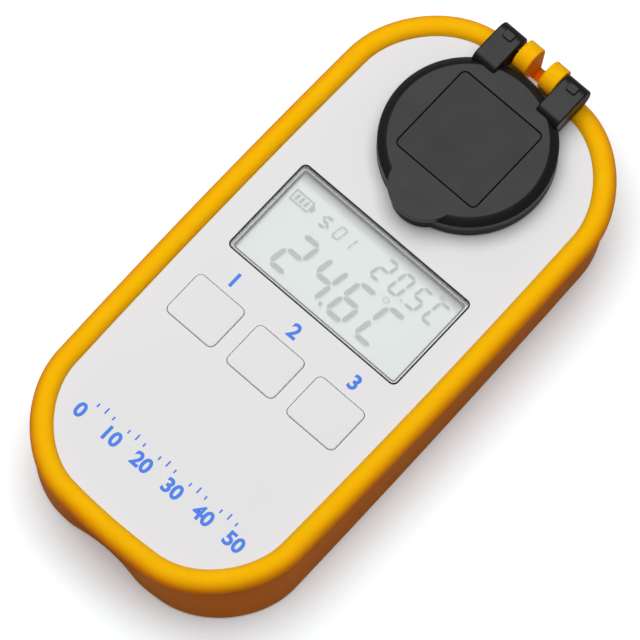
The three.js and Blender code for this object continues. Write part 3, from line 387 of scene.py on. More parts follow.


# Painted shade: the frame's yellow turns orange below the roll's crest and where its surface stands upright, for the
# shade on the roll's flanks and the knuckles' sides.
YELLOW = (0.93, 0.51, 0.003)
ORANGE = (0.97, 0.19, 0.003)
yellow_plastic = moulded_plastic("yellow_plastic", YELLOW, 0.45, depth=0.0008 * MM, specular=0.06, sheen=WARM_SHEEN,
                                 shade=(ORANGE, "Z", FACE_Z - 1.5 * MM, FACE_Z + 0.95 * MM), side=(ORANGE, 0.6),
                                 glow=0.9)
ROLL_RADIUS = 2.3 * MM
ROLL_Z = FACE_Z - 1.2 * MM
LIP_Z = FACE_Z + 0.08 * MM
lip_start = np.degrees(np.arcsin((LIP_Z - ROLL_Z) / ROLL_RADIUS))
LEDGE_TOP = FACE_Z - 2.1 * MM
LEDGE_LOW = LEDGE_TOP - 1.4 * MM
SKIRT_INNER = SKIRT_INSET + 1.15 * MM
PANEL_SEAT = 3.05 * MM
LEDGE_INNER = PANEL_SEAT + 2.1 * MM
frame_section = np.concatenate([
    arc((ROLL_RADIUS, ROLL_Z), ROLL_RADIUS, lip_start, 229, 44),
    [[SKIRT_INSET - 0.18 * MM, ROLL_Z - 1.86 * MM], [SKIRT_INSET - 0.05 * MM, ROLL_Z - 2.05 * MM],
     [SKIRT_INSET, ROLL_Z - 2.3 * MM]],
    arc((SKIRT_INSET + edge, PARTING_Z + edge), edge, 180, 270, 4),
    [[SKIRT_INNER, PARTING_Z], [SKIRT_INNER, LEDGE_LOW], [LEDGE_INNER, LEDGE_LOW], [LEDGE_INNER, LEDGE_TOP],
     [PANEL_SEAT, LEDGE_TOP], [PANEL_SEAT, LIP_Z]],
])

HINGE_Y = FACE_Y + 56.7 * MM
HINGE_Z = FACE_Z + 4.0 * MM
KNUCKLE_RADIUS = 2.9 * MM
KNUCKLE_WIDTH = 3.1 * MM
KNUCKLE_SPACE = 2.9 * MM
KNUCKLE_SHIFT = 0.3 * MM


def closed(grid):
    """The skin of a grid whose first and last rows are filled with plates."""
    return [skin(grid), plate(grid[0]), plate(grid[-1])]


def across_bar(profile, left, right, rounding, steps=5):
    """A side profile in y and z carried along x. Its two ends are rounded: near each the profile moves
    inwards by the rounding less the height of a circle of that radius."""
    profile = np.asarray(profile)
    tangent = np.roll(profile, -1, axis=0) - np.roll(profile, 1, axis=0)
    outward = np.stack([tangent[:, 1], -tangent[:, 0]], axis=1)
    outward /= np.linalg.norm(outward, axis=1, keepdims=True)
    angle = np.linspace(0, np.pi / 2, steps + 1)
    insets = rounding * (1 - np.sin(angle))
    reach = rounding * (1 - np.cos(angle))
    stations = np.concatenate([left + reach, right - reach[::-1]])
    insets = np.concatenate([insets, insets[::-1]])
    flat = profile[None] - insets[:, None, None] * outward[None]
    x = np.broadcast_to(stations[:, None, None], flat.shape[:2] + (1,))
    return closed(np.concatenate([x, flat], axis=2))


knuckle_back = HINGE_Y + KNUCKLE_RADIUS
knuckle_front = HINGE_Y - KNUCKLE_RADIUS
knuckle_foot = FACE_Z - 3.2 * MM
KNUCKLE_EDGE = 0.3 * MM
knuckle_profile = np.concatenate([
    [[knuckle_back - 0.8 * MM, knuckle_foot]],
    arc((HINGE_Y, HINGE_Z), KNUCKLE_RADIUS, 0, 180, 40),
    [[knuckle_front + 0.35 * MM, FACE_Z + 1.6 * MM], [knuckle_front + 0.6 * MM, LIP_Z + 0.02 * MM],
     [HINGE_Y - 0.4 * MM, knuckle_foot]],
])
frame_grid = to_place(rings(widest_line, frame_section))
WEB_Z = FACE_Z - 2.1 * MM
cut_back = np.abs(frame_grid[..., 0] - KNUCKLE_SHIFT) < (KNUCKLE_SPACE + KNUCKLE_WIDTH) / 2
cut_back &= frame_grid[..., 1] > 0
frame_grid[..., 2] = np.where(cut_back, np.minimum(frame_grid[..., 2], WEB_Z), frame_grid[..., 2])
frame_skins = [skin(frame_grid, round_rows=True)]
for side in (-1, 1):
    middle = KNUCKLE_SHIFT + side * (KNUCKLE_SPACE + KNUCKLE_WIDTH) / 2
    frame_skins += across_bar(knuckle_profile, middle - KNUCKLE_WIDTH / 2, middle + KNUCKLE_WIDTH / 2, KNUCKLE_EDGE)
frame_mesh = piece("rolled_frame", frame_skins, "base", yellow_plastic, ["bumper_frame"],
                   crease=32).data

# The attribute upright is 0 where the surface looks up and grows to 1 where it stands; by it the yellow plastic paints
# the frame's upright sides orange, as painted shade.
normals = np.empty(3 * len(frame_mesh.vertices), np.float32)
frame_mesh.vertices.foreach_get("normal", normals)
upright = frame_mesh.attributes.new("upright", "FLOAT", "POINT")
upright.data.foreach_set("value", np.clip(1 - normals[2::3], 0, 1))

# Small parts inside: pins, contacts, circuit boards, the cell, the switches and the optics' holders. Each is a
# bought part or a plain moulding that the housing hides, and keeps its solid from the model.


def dress(names, finish):
    """Gives carried-over nodes their material."""
    for name in names:
        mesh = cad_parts[name].data
        mesh.materials.clear()
        mesh.materials.append(finish)


def plain_metal(name, colour, roughness, streak):
    """Drawn or turned metal: streaks about a millimetre long and finer across one axis, in colour, gloss and
    bump, by noise in Object coordinates that the streak's factors stretch."""
    finish, tree, shader = blank_finish(name)
    place = shader_node(tree, "TexCoord").outputs["Object"]
    stretched = shader_node(tree, "Mapping", {"Vector": place, "Scale": streak}).outputs["Vector"]
    streaks = shader_node(tree, "TexNoise", {"Vector": stretched, "Scale": 1 / MM, "Detail": 5}).outputs["Fac"]
    darker = np.array(colour) * 0.85
    tint = shader_node(tree, "Mix", {"Factor": streaks, "A": (*darker, 1), "B": (*colour, 1)}, data_type="RGBA")
    gloss = shader_node(tree, "MapRange", {"Value": streaks, "To Min": roughness - 0.08, "To Max": roughness + 0.08})
    bump = shader_node(tree, "Bump", {"Distance": 0.004 * MM, "Height": streaks})
    fill_inputs(tree, shader, {"Metallic": 1.0, "Base Color": tint.outputs["Result"],
                               "Roughness": gloss.outputs["Result"], "Normal": bump.outputs["Normal"]})
    return finish


steel = plain_metal("screw_steel", (0.52, 0.53, 0.55), 0.34, (1, 1, 6))
spring_metal = plain_metal("contact_metal", (0.62, 0.6, 0.54), 0.28, (6, 1, 1))
brass = plain_metal("probe_brass", (0.6, 0.42, 0.16), 0.35, (1, 1, 6))
dark_plastic = moulded_plastic("dark_plastic", (0.02, 0.02, 0.022), 0.5)
holder_plastic = moulded_plastic("holder_plastic", (0.6, 0.6, 0.58), 0.5)
board_lacquer = moulded_plastic("board_lacquer", (0.012, 0.14, 0.045), 0.3, cloud=0.2)
cable_film = moulded_plastic("cable_film", (0.68, 0.62, 0.5), 0.3)
cell_sleeve = moulded_plastic("cell_sleeve", (0.045, 0.07, 0.1), 0.25)
soft_rubber = moulded_plastic("soft_rubber", (0.012, 0.012, 0.013), 0.75, grain=0.4 * MM)
lamp_lens = moulded_plastic("lamp_lens", (0.9, 0.7, 0.3), 0.12)
dress(["hinge_pin_left", "hinge_pin_right"], plain_metal("dark_steel", (0.07, 0.065, 0.06), 0.45, (6, 1, 1)))
dress(["contact_plus", "contact_minus"], spring_metal)
dress(["temperature_probe"], brass)
dress(["optical_block", "line_sensor", "controller_chip", "left_switch", "middle_switch", "right_switch"],
      dark_plastic)
dress(["display_holder"], holder_plastic)
dress(["main_board", "sensor_board"], board_lacquer)
dress(["ribbon_cable"], cable_film)
dress(["battery_cell"], cell_sleeve)
dress(["prism_ring", "display_connector_near", "display_connector_far"], soft_rubber)
dress(["lamp"], lamp_lens)

# Screws: eleven steel screws that point up. Each has a low round head with a pressed cross, and a rolled
# thread. Four join the shells, four hold the board, two the optical block and one the battery door.

SCREW_SIDES = 56
SCREW_KINDS = (("case_screw", 4, 1.5, 0.9), ("board_screw", 4, 0.9, 0.6), ("block_screw", 2, 0.9, 0.6),
               ("door_screw", 0, 0.8, 0.9))


def screw(node, head_height, shank):
    """A profile of radii and heights turned about the screw's axis. The head's face is pressed in by a depth
    that grows inwards from the edge of a cross, and the shank's radius shrinks by a cosine of the height
    over the pitch less the share of a turn, which is a thread."""
    low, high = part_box(node)
    head = (high.x - low.x) / 2
    neck = low.z + head_height
    tip = 1.6 * shank
    pitch = 0.75 * shank
    round_edge = 0.12 * head
    turn = np.radians(np.linspace(0, 90, 6))
    threads = np.arange(neck + 0.2 * MM, high.z - tip, pitch / 7)
    taper = np.linspace(0, 1, 8)
    profile = np.concatenate([
        [[share * head, low.z] for share in np.linspace(0.03, 0.86, 26)],
        np.stack([head - round_edge * (1 - np.sin(turn)), low.z + round_edge * (1 - np.cos(turn))], axis=1),
        [[head, neck - 0.5 * round_edge], [head - 0.5 * round_edge, neck], [1.1 * shank, neck],
         [shank, neck + 0.1 * MM]],
        [[shank, z] for z in threads],
        np.stack([shank * (1 - 0.93 * taper), high.z - tip * (1 - taper)], axis=1),
    ])
    grid = np.stack([circle(0, 0, radius, z, SCREW_SIDES) for radius, z in profile])
    x, y = grid[..., 0], grid[..., 1]
    wide, long = 0.15 * head, 0.62 * head
    cross = np.minimum(np.maximum(np.abs(x) - wide, np.abs(y) - long),
                       np.maximum(np.abs(y) - wide, np.abs(x) - long))
    pressed = np.clip(-cross / (0.09 * head), 0, 1) * 0.5 * head_height
    grid[..., 2] += np.where(grid[..., 2] == low.z, pressed, 0)
    turn_share = np.arange(SCREW_SIDES) / SCREW_SIDES
    ridge = 0.5 + 0.5 * np.cos(2 * np.pi * (grid[..., 2] / pitch - turn_share))
    cut = np.where(grid[..., 2] > neck + 0.15 * MM, 0.2 * (1 - ridge), 0)
    grid[..., :2] *= (1 - cut)[..., None]
    grid[..., :2] += middle_of(low, high)
    piece(node + "_steel", closed(grid), "base", steel, [node], crease=45)


for kind, count, head_height, shank in SCREW_KINDS:
    for node in [f"{kind}_{number}" for number in range(1, count + 1)] or [kind]:
        screw(node, head_height * MM, shank * MM)

# Sample well: a steel dish turned on a lathe, whose rolled rim rests on the panel. A glass prism closes the
# round window of its floor, sealed by a rubber ring.

HINGE_TO_LID = 19.1 * MM
LID_Y = HINGE_Y - HINGE_TO_LID
dish_low, dish_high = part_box("sample_dish")
dish_steel = plain_metal("dish_steel", (0.55, 0.56, 0.58), 0.22, (1, 1, 8))
RIM_ROUND = 0.3 * MM
RIM_RADIUS = 13.3 * MM
RIM_LOW = FACE_Z + 0.08 * MM
DISH_RADIUS = 11.9 * MM
PRISM_OPENING = 5.2 * MM
SLOPE_WIDTH, SLOPE_DEPTH, SLOPE_RISE, SLOPE_SAG = 4.7 * MM, 3.8 * MM, 3.55 * MM, 0.25 * MM
dish_top = dish_high.z
dish_profile = np.concatenate([
    [[PRISM_OPENING, dish_low.z], [PRISM_OPENING, dish_top - 3.9 * MM]],
    arc((5.45 * MM, dish_top - 3.93 * MM), 0.25 * MM, 180, 130, 4),
    [[PRISM_OPENING + SLOPE_WIDTH * share,
      dish_top - SLOPE_DEPTH + SLOPE_RISE * share - SLOPE_SAG * np.sin(np.pi * share)]
     for share in np.linspace(0.06, 0.96, 16)],
    arc((10.25 * MM, dish_top - 0.4 * MM), 0.4 * MM, 150, 90, 6),
    arc((RIM_RADIUS - RIM_ROUND, dish_top - RIM_ROUND), RIM_ROUND, 90, 0, 8),
    [[RIM_RADIUS, RIM_LOW], [DISH_RADIUS, RIM_LOW], [DISH_RADIUS, dish_top - 1.25 * MM], [6.2 * MM, dish_low.z]],
])
dish_grid = np.stack([circle(0, LID_Y, radius, z, 160) for radius, z in dish_profile])
piece("turned_dish", [skin(dish_grid, round_rows=True)], "base", dish_steel, ["sample_dish"])


POLISH_SIZE = 6 * MM


def clear_plate(name, roughness):
    """Clear acrylic with a faintly uneven polish. Shadow and diffuse rays pass straight through it, so that
    the glass below is lit once."""
    finish, tree, shader = blank_finish(name)
    place = shader_node(tree, "TexCoord").outputs["Object"]
    uneven = shader_node(tree, "TexNoise", {"Vector": place, "Scale": 1 / POLISH_SIZE}).outputs["Fac"]
    gloss = shader_node(tree, "MapRange", {"Value": uneven, "To Min": 0.0, "To Max": roughness})
    fill_inputs(tree, shader, {"Base Color": (0.96, 0.98, 0.97, 1), "Transmission Weight": 1.0, "IOR": 1.49,
                               "Roughness": gloss.outputs["Result"]})
    ray = shader_node(tree, "LightPath").outputs
    straight = shader_node(tree, "Math", {0: ray["Is Shadow Ray"], 1: ray["Is Diffuse Ray"]}, operation="MAXIMUM")
    passing = shader_node(tree, "BsdfTransparent")
    blend = shader_node(tree, "MixShader", {"Fac": straight.outputs["Value"], 1: shader.outputs["BSDF"],
                                            2: passing.outputs["BSDF"]})
    fill_inputs(tree, tree.nodes["Material Output"], {"Surface": blend.outputs["Shader"]})
    return finish


prism_glass = clear_plate("prism_glass", 0.01)
PRISM_EDGE = 0.06 * MM
softened("well_prism", "prism", "base", prism_glass, PRISM_EDGE)

# Front panel: a plate moulded in white plastic, which drops into the frame. Its openings take the window, the
# keys and the well, each with a faintly rounded edge.

WHITE = (0.75, 0.742, 0.752)
white_plastic = moulded_plastic("white_plastic", WHITE, 0.5, cloud=0.008, spread=0.01, depth=0.0015 * MM,
                                specular=0.3)
softened("face_plate", "front_panel", "base", white_plastic, EDGE_ROUND)

# Keys: three caps moulded in white plastic, with softly crowned tops. Each stands just above the panel, and its
# flange stops it from below.

KEY_FLANGE = 0.8 * MM
KEY_FLANGE_HEIGHT = 0.8 * MM
KEY_CORNER = 1.1 * MM
KEY_GAP_FILL = 0.08 * MM
KEY_EDGE = 0.22 * MM
KEY_CROWN = 0.14 * MM


def round_top(radius, top, degrees):
    """Insets and heights of a round upper edge, at these angles above the level of its centre."""
    return [(radius * (1 - np.cos(angle)), top - radius * (1 - np.sin(angle))) for angle in np.radians(degrees)]


for name in ("left_key", "middle_key", "right_key"):
    low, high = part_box(name)
    flange_half = np.array([(high.x - low.x) / 2, (high.y - low.y) / 2])
    half = flange_half - KEY_FLANGE + KEY_GAP_FILL
    flange_top = low.z + KEY_FLANGE_HEIGHT
    shelf = high.z - KEY_CROWN
    stack = [(flange_half, KEY_CORNER, low.z), (flange_half, KEY_CORNER, flange_top),
             (half, KEY_CORNER, flange_top), (half, KEY_CORNER, shelf - KEY_EDGE)]
    stack += [(half - inset, KEY_CORNER - inset, z) for inset, z in round_top(KEY_EDGE, shelf, range(15, 91, 15))]
    for share in np.linspace(0.96, 0.04, 16):
        stack.append(((half - KEY_EDGE) * share, (KEY_CORNER - KEY_EDGE) * share, shelf + KEY_CROWN * (1 - share**3)))
    grid = np.stack([rounded_rectangle(*size, corner, *middle_of(low, high), z) for size, corner, z in stack])
    piece(name + "_cap", closed(grid), name + "_body", white_plastic, [name], crease=50)

# Lid: a cap moulded in black plastic, in one with a finger tab and two arms that reach over the frame to the
# pins. Its shoulder is rounded, a square inlay lies in its top, and a rubber ring in its ceiling seals the well.

BLACK = (0.007, 0.0073, 0.0076)
BLACK_GLOSS = 0.295
black_plastic = moulded_plastic("black_plastic", BLACK, 0.4, grain=0.22 * MM, depth=0.006 * MM, specular=BLACK_GLOSS)
inlay_plastic = moulded_plastic("inlay_plastic", BLACK, 0.44, grain=0.2 * MM, depth=0.006 * MM, specular=BLACK_GLOSS)
# Painted shade: the cap's wall mirrors less of the room near its foot, where the frame shades it.
cap_tree = black_plastic.node_tree
cap_axes = shader_node(cap_tree, "SeparateXYZ", {"Vector": cap_tree.nodes["Texture Coordinate"].outputs["Object"]})
cap_gloss = shader_node(cap_tree, "MapRange", {"Value": cap_axes.outputs["Z"], "From Min": FACE_Z + 2.6 * MM,
                                               "From Max": FACE_Z + 4.4 * MM, "To Min": 0.03, "To Max": BLACK_GLOSS})
fill_inputs(cap_tree, cap_tree.nodes["Principled BSDF"], {"Specular IOR Level": cap_gloss.outputs["Result"]})
LID_BOTTOM = FACE_Z + 0.3 * MM
LID_TOP = LID_BOTTOM + 5.1 * MM
LID_RADIUS = 16.05 * MM
SHOULDER_LEDGE = 0.12 * MM
SHOULDER_WIDTH = 1.75 * MM
SHOULDER_DROP = 1.2 * MM
LID_INNER = 14.4 * MM
CEILING = LID_TOP - 1.6 * MM
TAB_REACH = 11.1 * MM
TAB_RADIUS = 6.8 * MM
TAB_SET_BACK = 0.5 * MM
TAB_JOIN = 0.03 * MM
lid_angle = np.arange(900) / 900 * 2 * np.pi


def ring_about(distance, y, z):
    """A level ring whose points lie at these distances from (0, y), one along each direction."""
    return np.stack([distance * np.cos(lid_angle), y + distance * np.sin(lid_angle), np.full(lid_angle.shape, z)],
                    axis=1)


def lid_ring(radius, tab, z):
    """A level ring about the lid's middle: the farther of the cap's circle and the far side of the tab's
    circle, seen along each direction, with the corner where they cross rounded over."""
    towards = -TAB_REACH * np.sin(lid_angle)
    half_chord = tab**2 - (TAB_REACH * np.cos(lid_angle)) ** 2
    reach = np.where(towards > 0, towards + np.sqrt(np.clip(half_chord, 0, None)), 0)
    return ring_about((radius + reach + np.sqrt((radius - reach) ** 2 + TAB_JOIN**2)) / 2, LID_Y, z)


def square_ring(half, corner, z):
    """A level ring about the inlay's middle: a square with round corners, met along each direction."""
    c, s = np.abs(np.cos(lid_angle)), np.abs(np.sin(lid_angle))
    straight = half / np.maximum(c, s)
    core = half - corner
    along = core * (c + s)
    rounded = along + np.sqrt(np.clip(along**2 - 2 * core**2 + corner**2, 0, None))
    in_corner = (straight * c > core) & (straight * s > core)
    return ring_about(np.where(in_corner, np.minimum(rounded, straight), straight), INLAY_Y, z)


INLAY_Y = LID_Y + 0.2 * MM
INLAY_HALF = 9.35 * MM
INLAY_CORNER = 1.1 * MM
SEAT_BEVEL = 0.08 * MM
SEAT_DEPTH = 0.85 * MM
tab_wall = TAB_RADIUS - TAB_SET_BACK
shoulder_z = LID_TOP - SHOULDER_DROP
lid_rows = [
    lid_ring(LID_INNER, 0, CEILING),
    lid_ring(LID_INNER, 0, LID_BOTTOM),
    lid_ring(LID_RADIUS - 0.4 * MM, tab_wall - 0.15 * MM, LID_BOTTOM),
    lid_ring(LID_RADIUS - 0.12 * MM, tab_wall - 0.03 * MM, LID_BOTTOM + 0.12 * MM),
    lid_ring(LID_RADIUS, tab_wall, LID_BOTTOM + 0.4 * MM),
    lid_ring(LID_RADIUS, tab_wall, shoulder_z - 0.14 * MM),
    lid_ring(LID_RADIUS, tab_wall + 0.02 * MM, shoulder_z - 0.03 * MM),
    lid_ring(LID_RADIUS - 0.02 * MM, TAB_RADIUS - 0.1 * MM, shoulder_z),
    lid_ring(LID_RADIUS - SHOULDER_LEDGE, TAB_RADIUS - 0.03 * MM, shoulder_z + 0.01 * MM),
]
TAB_ROUND = 0.14 * MM
for share in (0.05, 0.1, 0.2, 0.32, 0.45, 0.58, 0.7, 0.8, 0.88, 0.94, 1.0):
    z = shoulder_z + SHOULDER_DROP * (share + 0.45 * share * (1 - share))
    radius = LID_RADIUS - SHOULDER_LEDGE - (SHOULDER_WIDTH - SHOULDER_LEDGE) * share
    over = np.clip((z - (LID_TOP - TAB_ROUND)) / TAB_ROUND, 0, 1)
    lid_rows.append(lid_ring(radius, TAB_RADIUS - TAB_ROUND * (1 - np.sqrt(1 - over**2)), z))
seat_edge = square_ring(INLAY_HALF + SEAT_BEVEL, INLAY_CORNER + SEAT_BEVEL, LID_TOP)
lid_rows += [lid_rows[-1] * (1 - share) + seat_edge * share for share in (0.03, 0.15, 0.5, 0.9)]
lid_rows += [
    seat_edge,
    square_ring(INLAY_HALF, INLAY_CORNER, LID_TOP - SEAT_BEVEL),
    square_ring(INLAY_HALF, INLAY_CORNER, LID_TOP - SEAT_DEPTH),
]
lid_skins = closed(np.stack(lid_rows))

ARM_INNER = 4.9 * MM
ARM_WIDTH = 5.1 * MM
ARM_RADIUS = 2.4 * MM
ARM_FRONT = HINGE_Y - 7.1 * MM
ARM_TOP = LID_TOP + 1.0 * MM
ARM_RAMP = 2.0 * MM
ARM_EDGE = 0.35 * MM


def bend(start, middle, end, steps):
    """Points of a curve that leaves start towards middle and reaches end from it: a quadratic curve."""
    share = np.linspace(0, 1, steps + 1)[:, None]
    start, middle, end = np.array(start), np.array(middle), np.array(end)
    return start * (1 - share) ** 2 + 2 * middle * share * (1 - share) + end * share**2


arm_profile = np.concatenate([
    [[ARM_FRONT, CEILING + 0.35 * MM], [ARM_FRONT, CEILING + 0.2 * MM], [ARM_FRONT, HINGE_Z - ARM_RADIUS]],
    arc((HINGE_Y, HINGE_Z), ARM_RADIUS, -90, 90, 30),
    bend((ARM_FRONT + ARM_RAMP, ARM_TOP), (ARM_FRONT + ARM_RAMP / 4, ARM_TOP),
         (ARM_FRONT, LID_TOP - 0.4 * MM), 12),
])
NUB_HALF = (1.02 * MM, 0.78 * MM)
NUB_HEIGHT = 0.49 * MM
NUB_CORNER = 0.35 * MM
NUB_ROUND = 0.11 * MM
nub_rows = [(-0.05 * MM, -0.3 * MM), (-0.02 * MM, 0), *round_top(NUB_ROUND, NUB_HEIGHT, range(0, 91, 15))]
arm_crest = HINGE_Z + ARM_RADIUS
WALL_MIDDLE = 15.2 * MM


def clear_of_cap(points):
    """Moves an arm's lower points out to the middle of the cap's wall, so that its hollow stays clear."""
    wall = LID_Y + np.sqrt(WALL_MIDDLE**2 - points[:, 0] ** 2)
    inside = (points[:, 2] < CEILING + 0.28 * MM) & (points[:, 1] < wall)
    return np.column_stack([points[:, 0], np.where(inside, wall, points[:, 1]), points[:, 2]])


for side in (-1, 1):
    middle = side * (ARM_INNER + ARM_WIDTH / 2)
    arm = across_bar(arm_profile, middle - ARM_WIDTH / 2, middle + ARM_WIDTH / 2, ARM_EDGE)
    lid_skins += [(clear_of_cap(points), faces) for points, faces in arm]
    lid_skins += closed(np.stack([
        rounded_rectangle(NUB_HALF[0] - inset, NUB_HALF[1] - inset, NUB_CORNER - inset * 0.6, middle, HINGE_Y,
                          arm_crest + z)
        for inset, z in nub_rows
    ]))
piece("cap", lid_skins, "lid_body", black_plastic, ["lid"], crease=30)
softened("seal", "lid_seal", "lid_body", soft_rubber, EDGE_ROUND)

INLAY_GAP = 0.15 * MM
INLAY_ROUND = 0.1 * MM
inlay_rows = [(0, LID_TOP - 0.75 * MM), (0, LID_TOP - INLAY_ROUND), *round_top(INLAY_ROUND, LID_TOP, (30, 60, 90))]
inlay_grid = np.stack([square_ring(INLAY_HALF - INLAY_GAP - inset, INLAY_CORNER - INLAY_GAP - inset / 2, z)
                       for inset, z in inlay_rows])
piece("top_inlay", closed(inlay_grid), "lid_body", inlay_plastic, ["lid_inlay"], crease=50)

# Display: a clear window set flush in the panel, with a black band in the gap round it, a white border film
# under its edge and a black band round the opening below. Both black bands are painted shade, standing for
# the shade in the gap and in the opening. A reflective liquid crystal glass lies under the window in a holder.

window_low, window_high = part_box("display_window")
window_y = middle_of(window_low, window_high)[1]
window_half = np.array([window_high.x, (window_high.y - window_low.y) / 2])
glass_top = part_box("display_glass")[1].z
WINDOW_CORNER = 0.95 * MM
EDGE_BACK = 0.1 * MM


def window_stack(rows):
    """Rings of the window's rounded rectangle, each moved inwards by its inset, at its height."""
    return np.stack([rounded_rectangle(*(window_half - inset), WINDOW_CORNER - inset * 0.6, 0, window_y, z)
                     for inset, z in rows])


clear_plastic = clear_plate("clear_plastic", 0.02)
window_grid = window_stack([
    (EDGE_BACK + 0.05 * MM, window_low.z), (EDGE_BACK, window_low.z + 0.05 * MM),
    (EDGE_BACK, window_high.z - 0.14 * MM), (EDGE_BACK + 0.03 * MM, window_high.z - 0.07 * MM),
    (EDGE_BACK + 0.08 * MM, window_high.z - 0.02 * MM), (EDGE_BACK + 0.15 * MM, window_high.z),
])
piece("clear_window", closed(window_grid), "base", clear_plastic, ["display_window"], crease=25)

# Painted shade: a black sheet laid where the gap and the opening below the window lie in shade.
shade_black = moulded_plastic("shade_black", (0.008, 0.008, 0.008), 0.6, specular=0.2)


def band(outer, inner, low, high):
    """A flat band under or round the window, between two insets and two heights, closed on itself."""
    return skin(window_stack([(outer, low), (outer, high), (inner, high), (inner, low)]), round_rows=True)


# Painted shade in the gap round the window, and in the opening below it.
piece("window_gap_shade", [band(-0.14 * MM, 0.1 * MM, window_low.z - 0.02 * MM, window_high.z - 0.04 * MM)], "base",
      shade_black, crease=25)
piece("window_opening_shade", [band(0.59 * MM, 0.84 * MM, glass_top + 0.03 * MM, window_low.z - 0.02 * MM)], "base",
      shade_black, crease=25)
# Painted shade: the white film darkens towards the window's far edge, where the panel shades it.
film_white = moulded_plastic("film_white", (0.55, 0.55, 0.55), 0.6, specular=0.2,
                             shade=((0.12, 0.12, 0.12), "Y", window_high.y, window_high.y - 0.9 * MM))
piece("window_film", [band(-0.12 * MM, 0.57 * MM, window_low.z - 0.08 * MM, window_low.z - 0.02 * MM)], "base",
      film_white, crease=25)

# The far end of the glass lies in the panel's shade.
FAR_EDGE = ("Y", window_high.y - 0.6 * MM, window_high.y - 2.9 * MM)
glass_grey = moulded_plastic("glass_grey", (0.57, 0.61, 0.592), 0.5, cloud=0.01, specular=0.1,
                             shade=((0.17, 0.18, 0.185), *FAR_EDGE))
dress(["display_glass"], glass_grey)
segment_ink = moulded_plastic("segment_ink", (0.3, 0.336, 0.33), 0.5, cloud=0.03, specular=0.1,
                              shade=((0.09, 0.1, 0.1), *FAR_EDGE))
# Painted shadow of the figures on the reflector behind the glass.
painted_segment_shadow = moulded_plastic("painted_segment_shadow", (0.498, 0.54, 0.522), 0.5, cloud=0.03, specular=0.1,
                            shade=((0.14, 0.15, 0.15), *FAR_EDGE))
LEAN = 0.155


def segment_bar(x, y, length, width, upright):
    """One cell of a figure: a bar with pointed ends, given by its middle."""
    half, tip = length / 2, width / 2
    outline = np.array([[-half, 0], [-half + tip, -tip], [half - tip, -tip], [half, 0], [half - tip, tip],
                        [-half + tip, tip]])
    if upright:
        outline = outline[:, ::-1] * [1, -1]
    return outline + [x, y]


SEGMENTS = {"0": "abcdef", "1": "bc", "2": "abged", "4": "fgbc", "5": "afgcd", "6": "afgedc", "C": "afed"}


def figure(letter, x, y, width, height, bar):
    """The cells of one figure whose lower left corner is at (x, y) before it leans."""
    middle, half = x + width / 2, height / 2
    places = {"a": (middle, y + height, False), "g": (middle, y + half, False), "d": (middle, y, False),
              "f": (x, y + 0.75 * height, True), "b": (x + width, y + 0.75 * height, True),
              "e": (x, y + 0.25 * height, True), "c": (x + width, y + 0.25 * height, True)}
    gap = 0.34 * bar
    return [segment_bar(px, py, (half if upright else width) - gap, bar, upright)
            for px, py, upright in (places[cell] for cell in SEGMENTS[letter])]


def leaned(outlines, foot):
    """Outlines leaned to the right from the height of foot."""
    return [outline + np.outer(outline[:, 1] - foot, [LEAN, 0]) for outline in outlines]


def flat_disc(x, y, radius):
    """The outline of a round dot."""
    return circle(x, y, radius, 0, 24)[:, :2]


def raised(outlines, low, high, holes=None):
    """Flat shapes as thin plates with upright edges, each with the holes given for its number."""
    skins = []
    for number, outline in enumerate(outlines):
        loops = [outline] + (holes or {}).get(number, [])
        at_height = [[np.column_stack([loop, np.full(len(loop), z)]) for loop in loops] for z in (low, high)]
        skins += [skin(np.stack(pair)) for pair in zip(*at_height)]
        skins += [plate(*level) for level in at_height]
    return skins


large_foot = FACE_Y - 0.75 * MM
small_foot = FACE_Y + 9.3 * MM
shapes, holes = [], {}
for letter, x in (("2", -12.35), ("4", -5.5), ("6", 0.95), ("C", 7.65)):
    shapes += leaned(figure(letter, x * MM, large_foot, 3.6 * MM, 7.8 * MM, 1.0 * MM), large_foot)
for letter, x in (("2", 2.25), ("0", 6.3), ("5", 10.35), ("C", 14.4)):
    shapes += leaned(figure(letter, x * MM, small_foot, 2.1 * MM, 4.5 * MM, 0.58 * MM), small_foot)
for letter, x in (("0", -7.6), ("1", -5.2)):
    shapes += leaned(figure(letter, x * MM, FACE_Y + 10.15 * MM, 1.35 * MM, 2.5 * MM, 0.3 * MM), FACE_Y + 10 * MM)
shapes += leaned(figure("5", -10.9 * MM, FACE_Y + 10.25 * MM, 1.6 * MM, 2.1 * MM, 0.55 * MM), FACE_Y + 10 * MM)
shapes += [flat_disc(-0.5 * MM, large_foot + 0.1 * MM, 0.4 * MM), flat_disc(9.6 * MM, small_foot, 0.24 * MM)]
for x, y, radius in ((7.6, 7.6, 0.62), (14.7, 14.5, 0.48)):
    holes[len(shapes)] = [flat_disc(x * MM, FACE_Y + y * MM, (radius - 0.17) * MM)]
    shapes.append(flat_disc(x * MM, FACE_Y + y * MM, radius * MM))
icon = np.array([[-17.8, 10.3], [-13.5, 10.3], [-13.5, 10.9], [-12.9, 10.9], [-12.9, 12.1], [-13.5, 12.1],
                 [-13.5, 12.7], [-17.8, 12.7]]) * MM + [0, FACE_Y]
icon_hole = np.array([[-17.5, 10.6], [-13.8, 10.6], [-13.8, 12.4], [-17.5, 12.4]]) * MM + [0, FACE_Y]
holes[len(shapes)] = [icon_hole]
shapes.append(icon)
for x in (-17.1, -16.05, -15.0):
    bar = np.array([[x, 10.9], [x + 0.55, 10.9], [x + 0.75, 12.1], [x + 0.2, 12.1]])
    shapes.append(bar * MM + [0, FACE_Y])
ink_low = glass_top + 0.002 * MM
ink_high = glass_top + 0.03 * MM
piece("display_figures", raised(shapes, ink_low + 0.012 * MM, ink_high, holes), "base", segment_ink)

